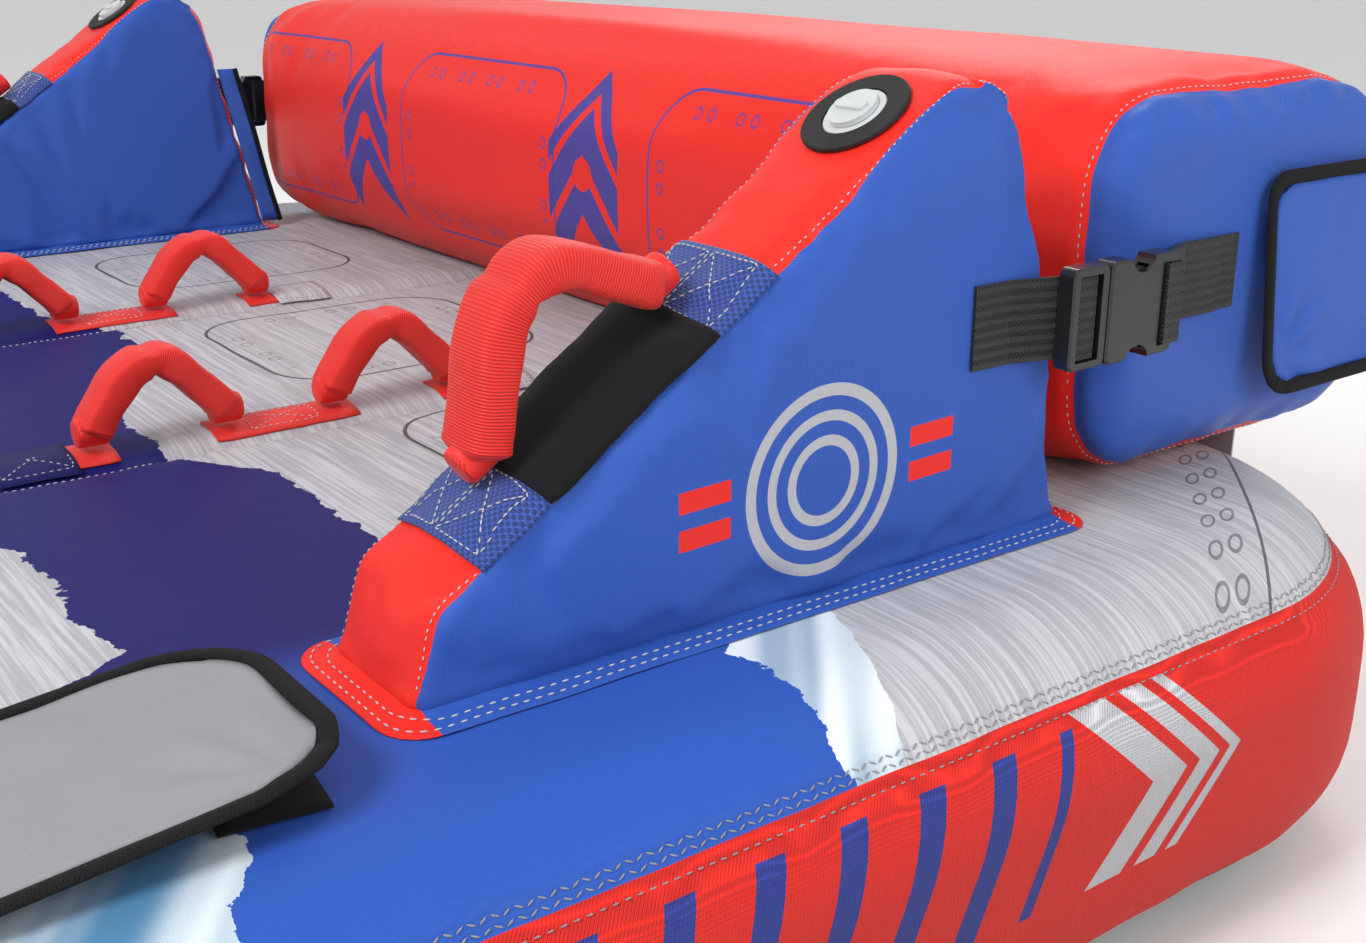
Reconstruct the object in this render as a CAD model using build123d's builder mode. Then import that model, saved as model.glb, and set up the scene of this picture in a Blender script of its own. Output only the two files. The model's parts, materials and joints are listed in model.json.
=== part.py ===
from build123d import *

import os
from math import cos, radians, sin, sqrt, tan

# Three-seat towable water tube: an air-filled deck with a sloping side cushion on
# each side, and a bolster across the back that two buckled straps hold as a backrest.
# Millimetres. +Z is up, -Y is the front (the towed end), +X is the rider's left.
# The origin is the middle of the deck's flat underside.

os.makedirs("parts", exist_ok=True)

# ---- materials' thicknesses ----
COVER = 2.0  # sewn nylon cover with its seam layers
AIR_GAP = 0.6  # between a cover and the bladder inside it
BLADDER = 1.6  # welded vinyl sheet
WEBBING = 2.0  # 50 mm and 38 mm nylon webbing

# ---- deck ----
DECK_WIDTH = 1680.0
DECK_LENGTH = 1500.0
DECK_HEIGHT = 240.0
DECK_CORNER = 230.0  # corner radius in plan
DECK_EDGE = 95.0  # round from the top face to the side
TOP_SEAM_Z = 205.0
BOTTOM_SEAM_Z = 32.0
SEAT_PITCH = 405.0  # distance between the two seams that divide the three seats
DECK_REAR = DECK_LENGTH / 2

# ---- side cushions: a wedge profile drawn from its corners ----
WEDGE_INNER_X = 587.0
WEDGE_OUTER_X = 692.0
WEDGE_TOE_Y = -2.0
WEDGE_HEEL_Y = 470.0
WEDGE_NOSE = 54.0  # height of the blunt toe
WEDGE_NOSE_LEAN = 16.0
WEDGE_SLOPE = 34.0  # degrees
WEDGE_HEEL_LEAN = 12.4  # degrees that the back leans forward
CREST_ROUND = 46.0
NOSE_ROUND = 28.0
WEDGE_SIDE_ROUND = 24.0
WEDGE_MID_X = (WEDGE_INNER_X + WEDGE_OUTER_X) / 2
GUSSET_WIDTH = WEDGE_OUTER_X - WEDGE_INNER_X - 2 * WEDGE_SIDE_ROUND

# ---- what lies on the wedge's slope, as distances up the slope from its nose corner ----
BAND_LENGTH = 50.0
FRONT_BAND_AT = 34.0
REAR_BAND_AT = 202.0
PAD_THICKNESS = 4.0
VALVE_RING_AT = 368.0
VALVE_RING_RADIUS = 33.0
VALVE_RING_HOLE = 20.0

# ---- padded handles ----
GRIP_WIDTH = 36.0
GRIP_THICKNESS = 25.0
GRIP_ROUND = 11.0
SLEEVE = 2.4
ROOT_RADIUS = 11.0  # the pinched, rolled foot of a handle
ROOT_LENGTH = 24.0
ROOT_CLEARANCE = 0.5
NECK = 9.0  # from a foot's hinge line up to where the padding starts
WEDGE_GRIP_SPAN = 132.0
WEDGE_GRIP_RISE = 52.0
DECK_GRIP_RISE = 46.0

# ---- deck handle strips ----
STRIP_X = (175.0, -231.0)
STRIP_WIDTH = 38.0
STRIP_RUNS = ((-26.0, 26.0), (98.0, 214.0), (288.0, 344.0))  # under the sewn feet
FRONT_GRIP_Y = (12.0, 112.0)
REAR_GRIP_Y = (198.0, 302.0)
PATCH_LENGTH = 56.0
PATCH_Y = (-32.0, 346.0)  # middles of the front and rear patches
PATCH_THICKNESS = 1.2

# ---- backrest bolster ----
BOLSTER_LENGTH = 1360.0
BOLSTER_FRONT_Y = 488.0
BOLSTER_DEPTH = 334.0
BOLSTER_HEIGHT = 272.0
BOLSTER_Z = DECK_HEIGHT + 0.8
BOLSTER_ROUND = 66.0
BOLSTER_END_ROUND = 26.0
BOLSTER_REAR_Y = BOLSTER_FRONT_Y + BOLSTER_DEPTH
BOLSTER_END_X = BOLSTER_LENGTH / 2

# ---- rear web that ties the bolster's underside to the deck ----
WEB_Y = 722.0
WEB_WIDTH = 1270.0
WEB_THICKNESS = 1.6

# ---- valves ----
VALVE_BARREL = 14.0
VALVE_FLANGE = 19.5
VALVE_CAP = 15.0
VALVE_DEPTH = 12.0
VALVE_HOLE = 16.0

# ---- valve flaps ----
FLAP_THICKNESS = 3.0
FLAP_BINDING = 10.0
DECK_FLAP = (150.0, 210.0, 45.0)  # width, length and corner radius
DECK_FLAP_X = 667.0
DECK_FLAP_HINGE_Y = -256.0
DECK_FLAP_HINGE_Z = DECK_HEIGHT + 3.6
DECK_FLAP_TILT = 5.5  # degrees that the closed flap stands proud over the valve
END_FLAP = (152.0, 150.0, 26.0)
END_FLAP_Y = 733.0
END_FLAP_TOP_Z = 442.0
END_FLAP_TILT = 5.0

# ---- 50 mm side-release buckles ----
STRAP_WIDTH = 50.0
STRAP_Z = 380.0
STRAP_FRONT_Y = 367.0
STRAP_REAR_Y = 630.0
BUCKLE_X = (704.0, 716.0)  # inboard and outboard faces
BUCKLE_HALF = 31.0  # half of its height
MALE_Y = (425.0, 457.0)
FEMALE_Y = (457.4, 520.0)
BLADE_TIP_Y = 490.0
ARM_ROOT_Y = 462.6
ARM_TIP_Y = 494.0
ARM_Z = 17.0
CAVITY_HALF = 26.0

# ---- zipper across the rear of the side band ----
ZIPPER_Z = 118.0
ZIPPER_LENGTH = 760.0
ZIPPER_TAPE = 34.0
ZIPPER_SLIDER = 16.0

# ---- tow point ----
TOW_Z = 122.0
TOW_BAR_Y = -788.0
TOW_WIRE = 4.5
TOW_EYE = 33.0

SIDES = {"left": 1, "right": -1}


def save(part, name):
    """Labels one finished piece and writes it under its node's name."""
    part.label = name
    export_step(part, f"parts/{name}.step")


def save_pair(part, name):
    """A left piece and its mirror image on the right, in one node."""
    with BuildPart() as pair:
        add(part)
        mirror(about=Plane.YZ)
    save(pair.part, name)


def save_side(part, name, side):
    """The left piece as built, the right piece mirrored across the middle."""
    save(part if SIDES[side] > 0 else mirror(part, about=Plane.YZ), name)


def hollow(outer, inner):
    with BuildPart() as shell:
        add(outer)
        add(inner, mode=Mode.SUBTRACT)
    return shell.part


def keep_layer(body, lower, upper, axis_plane=Plane.XY):
    """The part of a body between two parallel planes; None leaves that side whole."""
    with BuildPart() as layer:
        add(body)
        if lower is not None:
            split(bisect_by=axis_plane.offset(lower), keep=Keep.TOP)
        if upper is not None:
            split(bisect_by=axis_plane.offset(upper), keep=Keep.BOTTOM)
    return layer.part


# ---------------------------------------------------------------- deck
def deck_block(inset):
    """The deck's rounded block, drawn in by inset on every side."""
    with BuildPart() as block:
        with BuildSketch(Plane.XY.offset(inset)):
            RectangleRounded(
                DECK_WIDTH - 2 * inset, DECK_LENGTH - 2 * inset, DECK_CORNER - inset
            )
        extrude(amount=DECK_HEIGHT - 2 * inset)
        rims = block.edges().group_by(Axis.Z)
        fillet(rims[0] + rims[-1], DECK_EDGE - inset)
    return block.part


DECK_VALVE = Plane((DECK_FLAP_X, DECK_FLAP_HINGE_Y + 0.5 * DECK_FLAP[1], DECK_HEIGHT))


def make_deck():
    cover = hollow(deck_block(0), deck_block(COVER))
    with BuildPart() as top:
        add(keep_layer(cover, TOP_SEAM_Z, None))
        with BuildSketch(DECK_VALVE.offset(-2 * COVER)):
            Circle(VALVE_HOLE)
        extrude(amount=4 * COVER, mode=Mode.SUBTRACT)
    save(top.part, "deck_top_panel")
    save(keep_layer(cover, BOTTOM_SEAM_Z, TOP_SEAM_Z), "deck_side_band")
    save(keep_layer(cover, None, BOTTOM_SEAM_Z), "deck_bottom_panel")

    outside = COVER + AIR_GAP
    inside = outside + BLADDER
    wall_height = DECK_HEIGHT - 2 * outside - BLADDER
    with BuildPart() as bladder:
        add(hollow(deck_block(outside), deck_block(inside)))
        with BuildSketch(Plane.XY.offset(outside + BLADDER / 2)):
            with Locations((SEAT_PITCH / 2, 0), (-SEAT_PITCH / 2, 0)):
                Rectangle(BLADDER, DECK_LENGTH - 2 * DECK_CORNER)
        extrude(amount=wall_height)
        with BuildSketch(DECK_VALVE.offset(-4 * outside)):
            Circle(VALVE_HOLE)
        extrude(amount=5 * outside, mode=Mode.SUBTRACT)
    save(bladder.part, "deck_bladder")
    body, cap = valve_solids(DECK_VALVE)
    save(body, "deck_valve_body")
    save(cap, "deck_valve_cap")


# ---------------------------------------------------------------- side cushions
CREST_GAIN = tan(radians(WEDGE_SLOPE))
HEEL_GAIN = tan(radians(WEDGE_HEEL_LEAN))
NOSE_Y = WEDGE_TOE_Y + WEDGE_NOSE_LEAN
# the crest corner is where the slope meets the leaning back
CREST_RISE = (WEDGE_HEEL_Y - NOSE_Y - WEDGE_NOSE * HEEL_GAIN) / (1 / CREST_GAIN + HEEL_GAIN)
CREST_Y = NOSE_Y + CREST_RISE / CREST_GAIN
NOSE_Z = DECK_HEIGHT + WEDGE_NOSE
CREST_Z = NOSE_Z + CREST_RISE

# the wedge's slope: local x across the tube, local y up the slope, z out of it
SLOPE = Plane(
    origin=(WEDGE_MID_X, NOSE_Y, NOSE_Z),
    x_dir=(1, 0, 0),
    z_dir=(0, -sin(radians(WEDGE_SLOPE)), cos(radians(WEDGE_SLOPE))),
)


def on_slope(distance, height=0.0):
    """The slope's plane moved up the slope by distance and out of it by height."""
    return Plane(
        origin=SLOPE.from_local_coords(Vector(0, distance, height)),
        x_dir=(1, 0, 0),
        z_dir=SLOPE.z_dir,
    )


def wedge_block(inset):
    """The cushion's solid shape, drawn in by inset; a negative inset grows it."""
    with BuildPart() as block:
        with BuildSketch(Plane.YZ.offset(WEDGE_INNER_X + inset)) as profile:
            with BuildLine():
                Polyline(
                    (WEDGE_TOE_Y, DECK_HEIGHT),
                    (NOSE_Y, NOSE_Z),
                    (CREST_Y, CREST_Z),
                    (WEDGE_HEEL_Y, DECK_HEIGHT),
                    close=True,
                )
            make_face()
            fillet(profile.vertices().sort_by(Axis.Y)[-1], CREST_ROUND)
            fillet(profile.vertices().sort_by(Axis.X)[1], NOSE_ROUND)
            if inset:
                offset(amount=-inset, kind=Kind.INTERSECTION, mode=Mode.REPLACE)
        extrude(amount=WEDGE_OUTER_X - WEDGE_INNER_X - 2 * inset)
        rims = block.edges().filter_by(
            lambda e: abs(e.bounding_box().size.X) < 0.01
            and e.bounding_box().max.Z > DECK_HEIGHT + inset + 0.01
        )
        fillet(rims, WEDGE_SIDE_ROUND - inset)
    return block.part


def valve_solids(seat):
    """A screw-in inflation valve standing on a plane: its flanged body, and the
    screw cap with a finger bar across it."""
    with BuildPart() as body:
        with BuildSketch(seat.offset(-VALVE_DEPTH)):
            Circle(VALVE_BARREL)
            Circle(VALVE_BARREL - 4, mode=Mode.SUBTRACT)
        extrude(amount=VALVE_DEPTH + 1.0)
        with BuildSketch(seat.offset(0.2)):
            Circle(VALVE_FLANGE)
            Circle(VALVE_BARREL - 4, mode=Mode.SUBTRACT)
        extrude(amount=2.0)
        rims = body.edges().filter_by(GeomType.CIRCLE)
        chamfer(rims.group_by(SortBy.RADIUS)[-1], 0.6)
    with BuildPart() as cap:
        with BuildSketch(seat.offset(2.6)):
            Circle(VALVE_CAP)
        extrude(amount=3.2)
        with BuildSketch(seat.offset(5.8)):
            SlotOverall(2 * VALVE_CAP - 6, 7)
        extrude(amount=2.2)
        with BuildSketch(seat.offset(2.6)):
            Circle(VALVE_BARREL - 4.6)
        extrude(amount=-9.0)
    return body.part, cap.part


def valve_ring(seat):
    with BuildPart() as ring:
        with BuildSketch(seat):
            Circle(VALVE_RING_RADIUS)
            Circle(VALVE_RING_HOLE, mode=Mode.SUBTRACT)
        extrude(amount=2.6)
        rims = ring.edges().filter_by(GeomType.CIRCLE)
        chamfer(rims.group_by(SortBy.RADIUS)[-1].sort_by(Axis.Z)[-1:], 0.8)
    return ring.part


def grip_path(span, rise):
    """Centre line of a padded handle: up from one foot, along, and down to the other."""
    lean = 0.30 * rise
    return [(0, NECK), (lean, rise), (span - lean, rise), (span, NECK)]


def padded_grip(foot, span, rise):
    """A webbing sleeve on its pinched feet, and the foam rod inside it. foot is a plane
    at the first foot's root axis with x along the span and y out of the base."""
    corner = 0.42 * rise
    with BuildPart() as sleeve:
        with BuildLine(foot):
            centre = FilletPolyline(*grip_path(span, rise), radius=corner)
        start = Plane(origin=centre @ 0, x_dir=foot.z_dir, z_dir=centre % 0)
        with BuildSketch(start):
            RectangleRounded(GRIP_WIDTH, GRIP_THICKNESS, GRIP_ROUND)
        sweep(path=centre)
        for along in (0, span):
            root = Plane(
                origin=foot.from_local_coords(Vector(along - ROOT_LENGTH / 2, 0, 0)),
                z_dir=foot.x_dir,
            )
            with BuildSketch(root):
                Circle(ROOT_RADIUS)
            extrude(amount=ROOT_LENGTH)
            neck = Plane(
                origin=foot.from_local_coords(Vector(along, 0, 0)),
                x_dir=foot.x_dir,
                z_dir=foot.y_dir,
            )
            with BuildSketch(neck):
                Rectangle(ROOT_LENGTH, 2 * ROOT_RADIUS)
            extrude(amount=NECK + SLEEVE)
        with BuildSketch(start):
            RectangleRounded(
                GRIP_WIDTH - 2 * SLEEVE, GRIP_THICKNESS - 2 * SLEEVE, GRIP_ROUND - SLEEVE
            )
        sweep(path=centre, mode=Mode.SUBTRACT)
    slack = SLEEVE + 0.4
    with BuildPart() as core:
        with BuildSketch(start):
            RectangleRounded(
                GRIP_WIDTH - 2 * slack, GRIP_THICKNESS - 2 * slack, GRIP_ROUND - slack
            )
        sweep(path=centre)
        flat = Plane(origin=foot.from_local_coords(Vector(0, NECK + 4, 0)), z_dir=foot.y_dir)
        split(bisect_by=flat, keep=Keep.TOP)
    return sleeve.part, core.part


def on_gusset(grow, start, length):
    """A layer of that thickness over the slope, from start along it for length."""
    with BuildPart() as layer:
        add(wedge_block(-grow))
        add(wedge_block(0), mode=Mode.SUBTRACT)
        window = Box(GUSSET_WIDTH + 2, length, CREST_ROUND, mode=Mode.PRIVATE)
        add(on_slope(start + length / 2).location * window, mode=Mode.INTERSECT)
    return layer.part


def make_cushions():
    shell = hollow(wedge_block(0), wedge_block(COVER))
    inner_seam = WEDGE_INNER_X + WEDGE_SIDE_ROUND
    outer_seam = WEDGE_OUTER_X - WEDGE_SIDE_ROUND
    seat = on_slope(VALVE_RING_AT)
    hole = seat.offset(-20)
    with BuildPart() as gusset:
        add(keep_layer(shell, inner_seam, outer_seam, Plane.YZ))
        with BuildSketch(hole):
            Circle(VALVE_HOLE)
        extrude(amount=40, mode=Mode.SUBTRACT)
    with BuildPart() as panels:
        add(keep_layer(shell, outer_seam, None, Plane.YZ))
        add(keep_layer(shell, None, inner_seam, Plane.YZ))
    outside = COVER + AIR_GAP
    with BuildPart() as bladder:
        add(hollow(wedge_block(outside), wedge_block(outside + BLADDER)))
        with BuildSketch(hole):
            Circle(VALVE_HOLE)
        extrude(amount=40, mode=Mode.SUBTRACT)
    with BuildPart() as bands:
        add(on_gusset(1.5, FRONT_BAND_AT, BAND_LENGTH))
        add(on_gusset(1.5, REAR_BAND_AT, BAND_LENGTH))
    pad_at = FRONT_BAND_AT + BAND_LENGTH
    pad = on_gusset(PAD_THICKNESS, pad_at, REAR_BAND_AT - pad_at)

    body, cap = valve_solids(seat)
    foot_at = on_slope(
        (FRONT_BAND_AT + BAND_LENGTH + REAR_BAND_AT - WEDGE_GRIP_SPAN) / 2,
        PAD_THICKNESS + ROOT_CLEARANCE + ROOT_RADIUS,
    )
    foot = Plane(origin=foot_at.origin, x_dir=SLOPE.y_dir, z_dir=(1, 0, 0))
    sleeve, core = padded_grip(foot, WEDGE_GRIP_SPAN, WEDGE_GRIP_RISE)

    # blue closing flap down the inboard back edge, beside the bolster
    with BuildPart() as closer:
        with BuildSketch(Plane.YZ.offset(WEDGE_INNER_X + 4)):
            with BuildLine():
                Polyline(
                    (WEDGE_HEEL_Y + 1, DECK_HEIGHT + 4),
                    (WEDGE_HEEL_Y + 13, DECK_HEIGHT + 4),
                    (WEDGE_HEEL_Y + 13 - 190 * HEEL_GAIN, DECK_HEIGHT + 194),
                    (WEDGE_HEEL_Y + 1 - 190 * HEEL_GAIN, DECK_HEIGHT + 194),
                    close=True,
                )
            make_face()
        extrude(amount=3)

    own_nodes = {
        "gusset": gusset.part,
        "side_panels": panels.part,
        "bladder": bladder.part,
        "valve_cap": cap,
        "handle_sleeve": sleeve,
        "handle_core": core,
    }
    for name, part in own_nodes.items():
        for side in SIDES:
            save_side(part, f"{side}_cushion_{name}", side)
    shared_nodes = {
        "webbing_bands": bands.part,
        "knuckle_pads": pad,
        "valve_rings": valve_ring(seat),
        "valve_bodies": body,
        "closing_flaps": closer.part,
    }
    for name, part in shared_nodes.items():
        save_pair(part, f"cushion_{name}")


# ---------------------------------------------------------------- deck handles
def make_deck_handles():
    with BuildPart() as strips:
        with BuildSketch(Plane.XY.offset(DECK_HEIGHT)):
            for start, end in STRIP_RUNS:
                with Locations(*[(x, (start + end) / 2) for x in STRIP_X]):
                    Rectangle(STRIP_WIDTH, end - start)
        extrude(amount=WEBBING)
    save(strips.part, "deck_handle_strips")

    with BuildPart() as patches:
        with BuildSketch(Plane.XY.offset(DECK_HEIGHT)):
            with Locations(*[(x, y) for x in STRIP_X for y in PATCH_Y]):
                Rectangle(STRIP_WIDTH + 10, PATCH_LENGTH)
        extrude(amount=WEBBING + PATCH_THICKNESS)
        add(strips.part, mode=Mode.SUBTRACT)
    save(patches.part, "deck_handle_patches")

    for strip_name, x in zip(("left", "right"), STRIP_X):
        for place, (start, end) in (("front", FRONT_GRIP_Y), ("rear", REAR_GRIP_Y)):
            axis_z = DECK_HEIGHT + WEBBING + ROOT_CLEARANCE + ROOT_RADIUS
            foot = Plane(origin=(x, start, axis_z), x_dir=(0, 1, 0), z_dir=(1, 0, 0))
            sleeve, core = padded_grip(foot, end - start, DECK_GRIP_RISE)
            save(sleeve, f"deck_grip_{strip_name}_{place}_sleeve")
            save(core, f"deck_grip_{strip_name}_{place}_core")


# ---------------------------------------------------------------- backrest
def bolster_block(inset):
    with BuildPart() as block:
        with BuildSketch(Plane.YZ.offset(inset - BOLSTER_END_X)):
            with Locations(
                (BOLSTER_FRONT_Y + BOLSTER_DEPTH / 2, BOLSTER_Z + BOLSTER_HEIGHT / 2)
            ):
                RectangleRounded(
                    BOLSTER_DEPTH - 2 * inset,
                    BOLSTER_HEIGHT - 2 * inset,
                    BOLSTER_ROUND - inset,
                )
        extrude(amount=BOLSTER_LENGTH - 2 * inset)
        ends = block.edges().group_by(Axis.X)
        fillet(ends[0] + ends[-1], BOLSTER_END_ROUND - inset)
    return block.part


END_VALVE = Plane(
    origin=(BOLSTER_END_X, END_FLAP_Y, END_FLAP_TOP_Z - END_FLAP[1] / 2),
    x_dir=(0, 1, 0),
    z_dir=(1, 0, 0),
)


def make_backrest():
    shell = hollow(bolster_block(0), bolster_block(COVER))
    seam = BOLSTER_END_X - BOLSTER_END_ROUND
    save(keep_layer(shell, -seam, seam, Plane.YZ), "backrest_sleeve")
    with BuildPart() as ends:
        add(keep_layer(shell, seam, None, Plane.YZ))
        add(keep_layer(shell, None, -seam, Plane.YZ))
        with BuildSketch(END_VALVE.offset(-2 * COVER)):
            Circle(VALVE_HOLE)
        extrude(amount=4 * COVER, mode=Mode.SUBTRACT)
    save(ends.part, "backrest_end_panels")
    outside = COVER + AIR_GAP
    with BuildPart() as bladder:
        add(hollow(bolster_block(outside), bolster_block(outside + BLADDER)))
        with BuildSketch(END_VALVE.offset(-4 * outside)):
            Circle(VALVE_HOLE)
        extrude(amount=5 * outside, mode=Mode.SUBTRACT)
    save(bladder.part, "backrest_bladder")
    body, cap = valve_solids(END_VALVE)
    save(body, "backrest_valve_body")
    save(cap, "backrest_valve_cap")


def make_zipper():
    """The zipper across the back of the side band, where the bladder goes in."""
    with BuildPart() as tape:
        with BuildSketch(Plane.XZ.offset(-DECK_REAR)):
            with Locations((0, ZIPPER_Z)):
                Rectangle(ZIPPER_LENGTH, ZIPPER_TAPE)
        extrude(amount=-1.2)
        with BuildSketch(Plane.XZ.offset(-DECK_REAR - 1.2)):
            with Locations((0, ZIPPER_Z)):
                Rectangle(ZIPPER_LENGTH - 16, 6)
        extrude(amount=-1.4)
    save(tape.part, "zipper_tape")

    start = (ZIPPER_LENGTH - 16) / 2 - ZIPPER_SLIDER
    with BuildPart() as slider:
        with BuildSketch(Plane.YZ.offset(start - ZIPPER_SLIDER / 2)):
            with Locations((DECK_REAR + 4.0, ZIPPER_Z)):
                Rectangle(4.8, 13)
            with Locations((DECK_REAR + 2.2, ZIPPER_Z)):
                Rectangle(2.4, 6.8, mode=Mode.SUBTRACT)
        extrude(amount=ZIPPER_SLIDER)
        chamfer(slider.faces().sort_by(Axis.Y)[-1].edges(), 0.8)
        with BuildSketch(Plane.XZ.offset(-DECK_REAR - 6.0)):
            with Locations((start - 20, ZIPPER_Z)):
                SlotOverall(44, 9)
            with Locations((start - 34, ZIPPER_Z)):
                Circle(2.4, mode=Mode.SUBTRACT)
        extrude(amount=-2.6)
    save(slider.part, "zipper_slider")


def make_rear_web():
    """A sheet that stands on the deck's rear shoulder, up to the bolster's underside."""
    into_round = WEB_Y - WEB_THICKNESS / 2 - (DECK_REAR - DECK_EDGE)
    drop = DECK_EDGE - sqrt(DECK_EDGE**2 - into_round**2)
    height = drop - 0.3
    with BuildPart() as web:
        with BuildSketch(Plane.XZ.offset(-WEB_Y)):
            with Locations((0, DECK_HEIGHT - height / 2)):
                Rectangle(WEB_WIDTH, height)
        extrude(amount=WEB_THICKNESS / 2, both=True)
    save(web.part, "rear_web")


# ---------------------------------------------------------------- valve flaps
def flap_solids(plane, width, length, corner):
    """A flap hinged on the plane's x axis: its fabric panel and the binding round it.
    The flap runs from the hinge along local y, and its thickness goes along local z."""
    with BuildPart() as panel:
        with BuildSketch(plane.offset(0.4)):
            with Locations((0, length / 2)):
                RectangleRounded(
                    width - 2 * FLAP_BINDING,
                    length - 2 * FLAP_BINDING,
                    corner - FLAP_BINDING,
                )
        extrude(amount=FLAP_THICKNESS - 0.8)
    with BuildPart() as binding:
        with BuildSketch(plane):
            with Locations((0, length / 2)):
                RectangleRounded(width, length, corner)
                RectangleRounded(
                    width - 2 * FLAP_BINDING,
                    length - 2 * FLAP_BINDING,
                    corner - FLAP_BINDING,
                    mode=Mode.SUBTRACT,
                )
        extrude(amount=FLAP_THICKNESS)
    return panel.part, binding.part


def make_flaps():
    tilt = radians(DECK_FLAP_TILT)
    deck_plane = Plane(
        origin=(DECK_FLAP_X, DECK_FLAP_HINGE_Y, DECK_FLAP_HINGE_Z),
        x_dir=(1, 0, 0),
        z_dir=(0, -sin(tilt), cos(tilt)),
    )
    panel, binding = flap_solids(deck_plane, *DECK_FLAP)
    save(panel, "deck_valve_flap")
    save(binding, "deck_valve_flap_binding")

    lean = radians(END_FLAP_TILT)
    end_plane = Plane(
        origin=(BOLSTER_END_X + 3.6, END_FLAP_Y, END_FLAP_TOP_Z),
        x_dir=(0, -1, 0),
        z_dir=(cos(lean), 0, sin(lean)),
    )
    panel, binding = flap_solids(end_plane, *END_FLAP)
    save(panel, "backrest_valve_flap")
    save(binding, "backrest_valve_flap_binding")

    # hook-and-loop patch on the deck, under the flap's free corner
    with BuildPart() as patch:
        with BuildSketch(Plane.XY.offset(DECK_HEIGHT)):
            with Locations((692, -62)):
                Rectangle(84, 50, rotation=-8)
        extrude(amount=1.4)
    save(patch.part, "deck_flap_hook_patch")


# ---------------------------------------------------------------- straps and buckles
def flat_strap(route, lower_z):
    """Webbing standing on edge: its centre line seen from above, traced and raised."""
    with BuildPart() as strap:
        with BuildSketch(Plane.XY.offset(lower_z)):
            with BuildLine() as line:
                Polyline(*route)
            trace(line.line, line_width=WEBBING)
        extrude(amount=STRAP_WIDTH)
    return strap.part


def buckle_bar_block(y_range, half, x_range=BUCKLE_X):
    """A centred block spanning those y and x, and half above and below the strap's middle."""
    size = (x_range[1] - x_range[0], y_range[1] - y_range[0], 2 * half)
    middle = ((x_range[0] + x_range[1]) / 2, (y_range[0] + y_range[1]) / 2, STRAP_Z)
    return Pos(*middle) * Box(*size, mode=Mode.PRIVATE)


SLOT_HALF = 26.0
FRONT_SLOT_Y = (430.5, 437.5)
REAR_SLOT_Y = (443.5, 450.5)
FEMALE_SLOT_Y = (505.0, 512.0)


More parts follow.
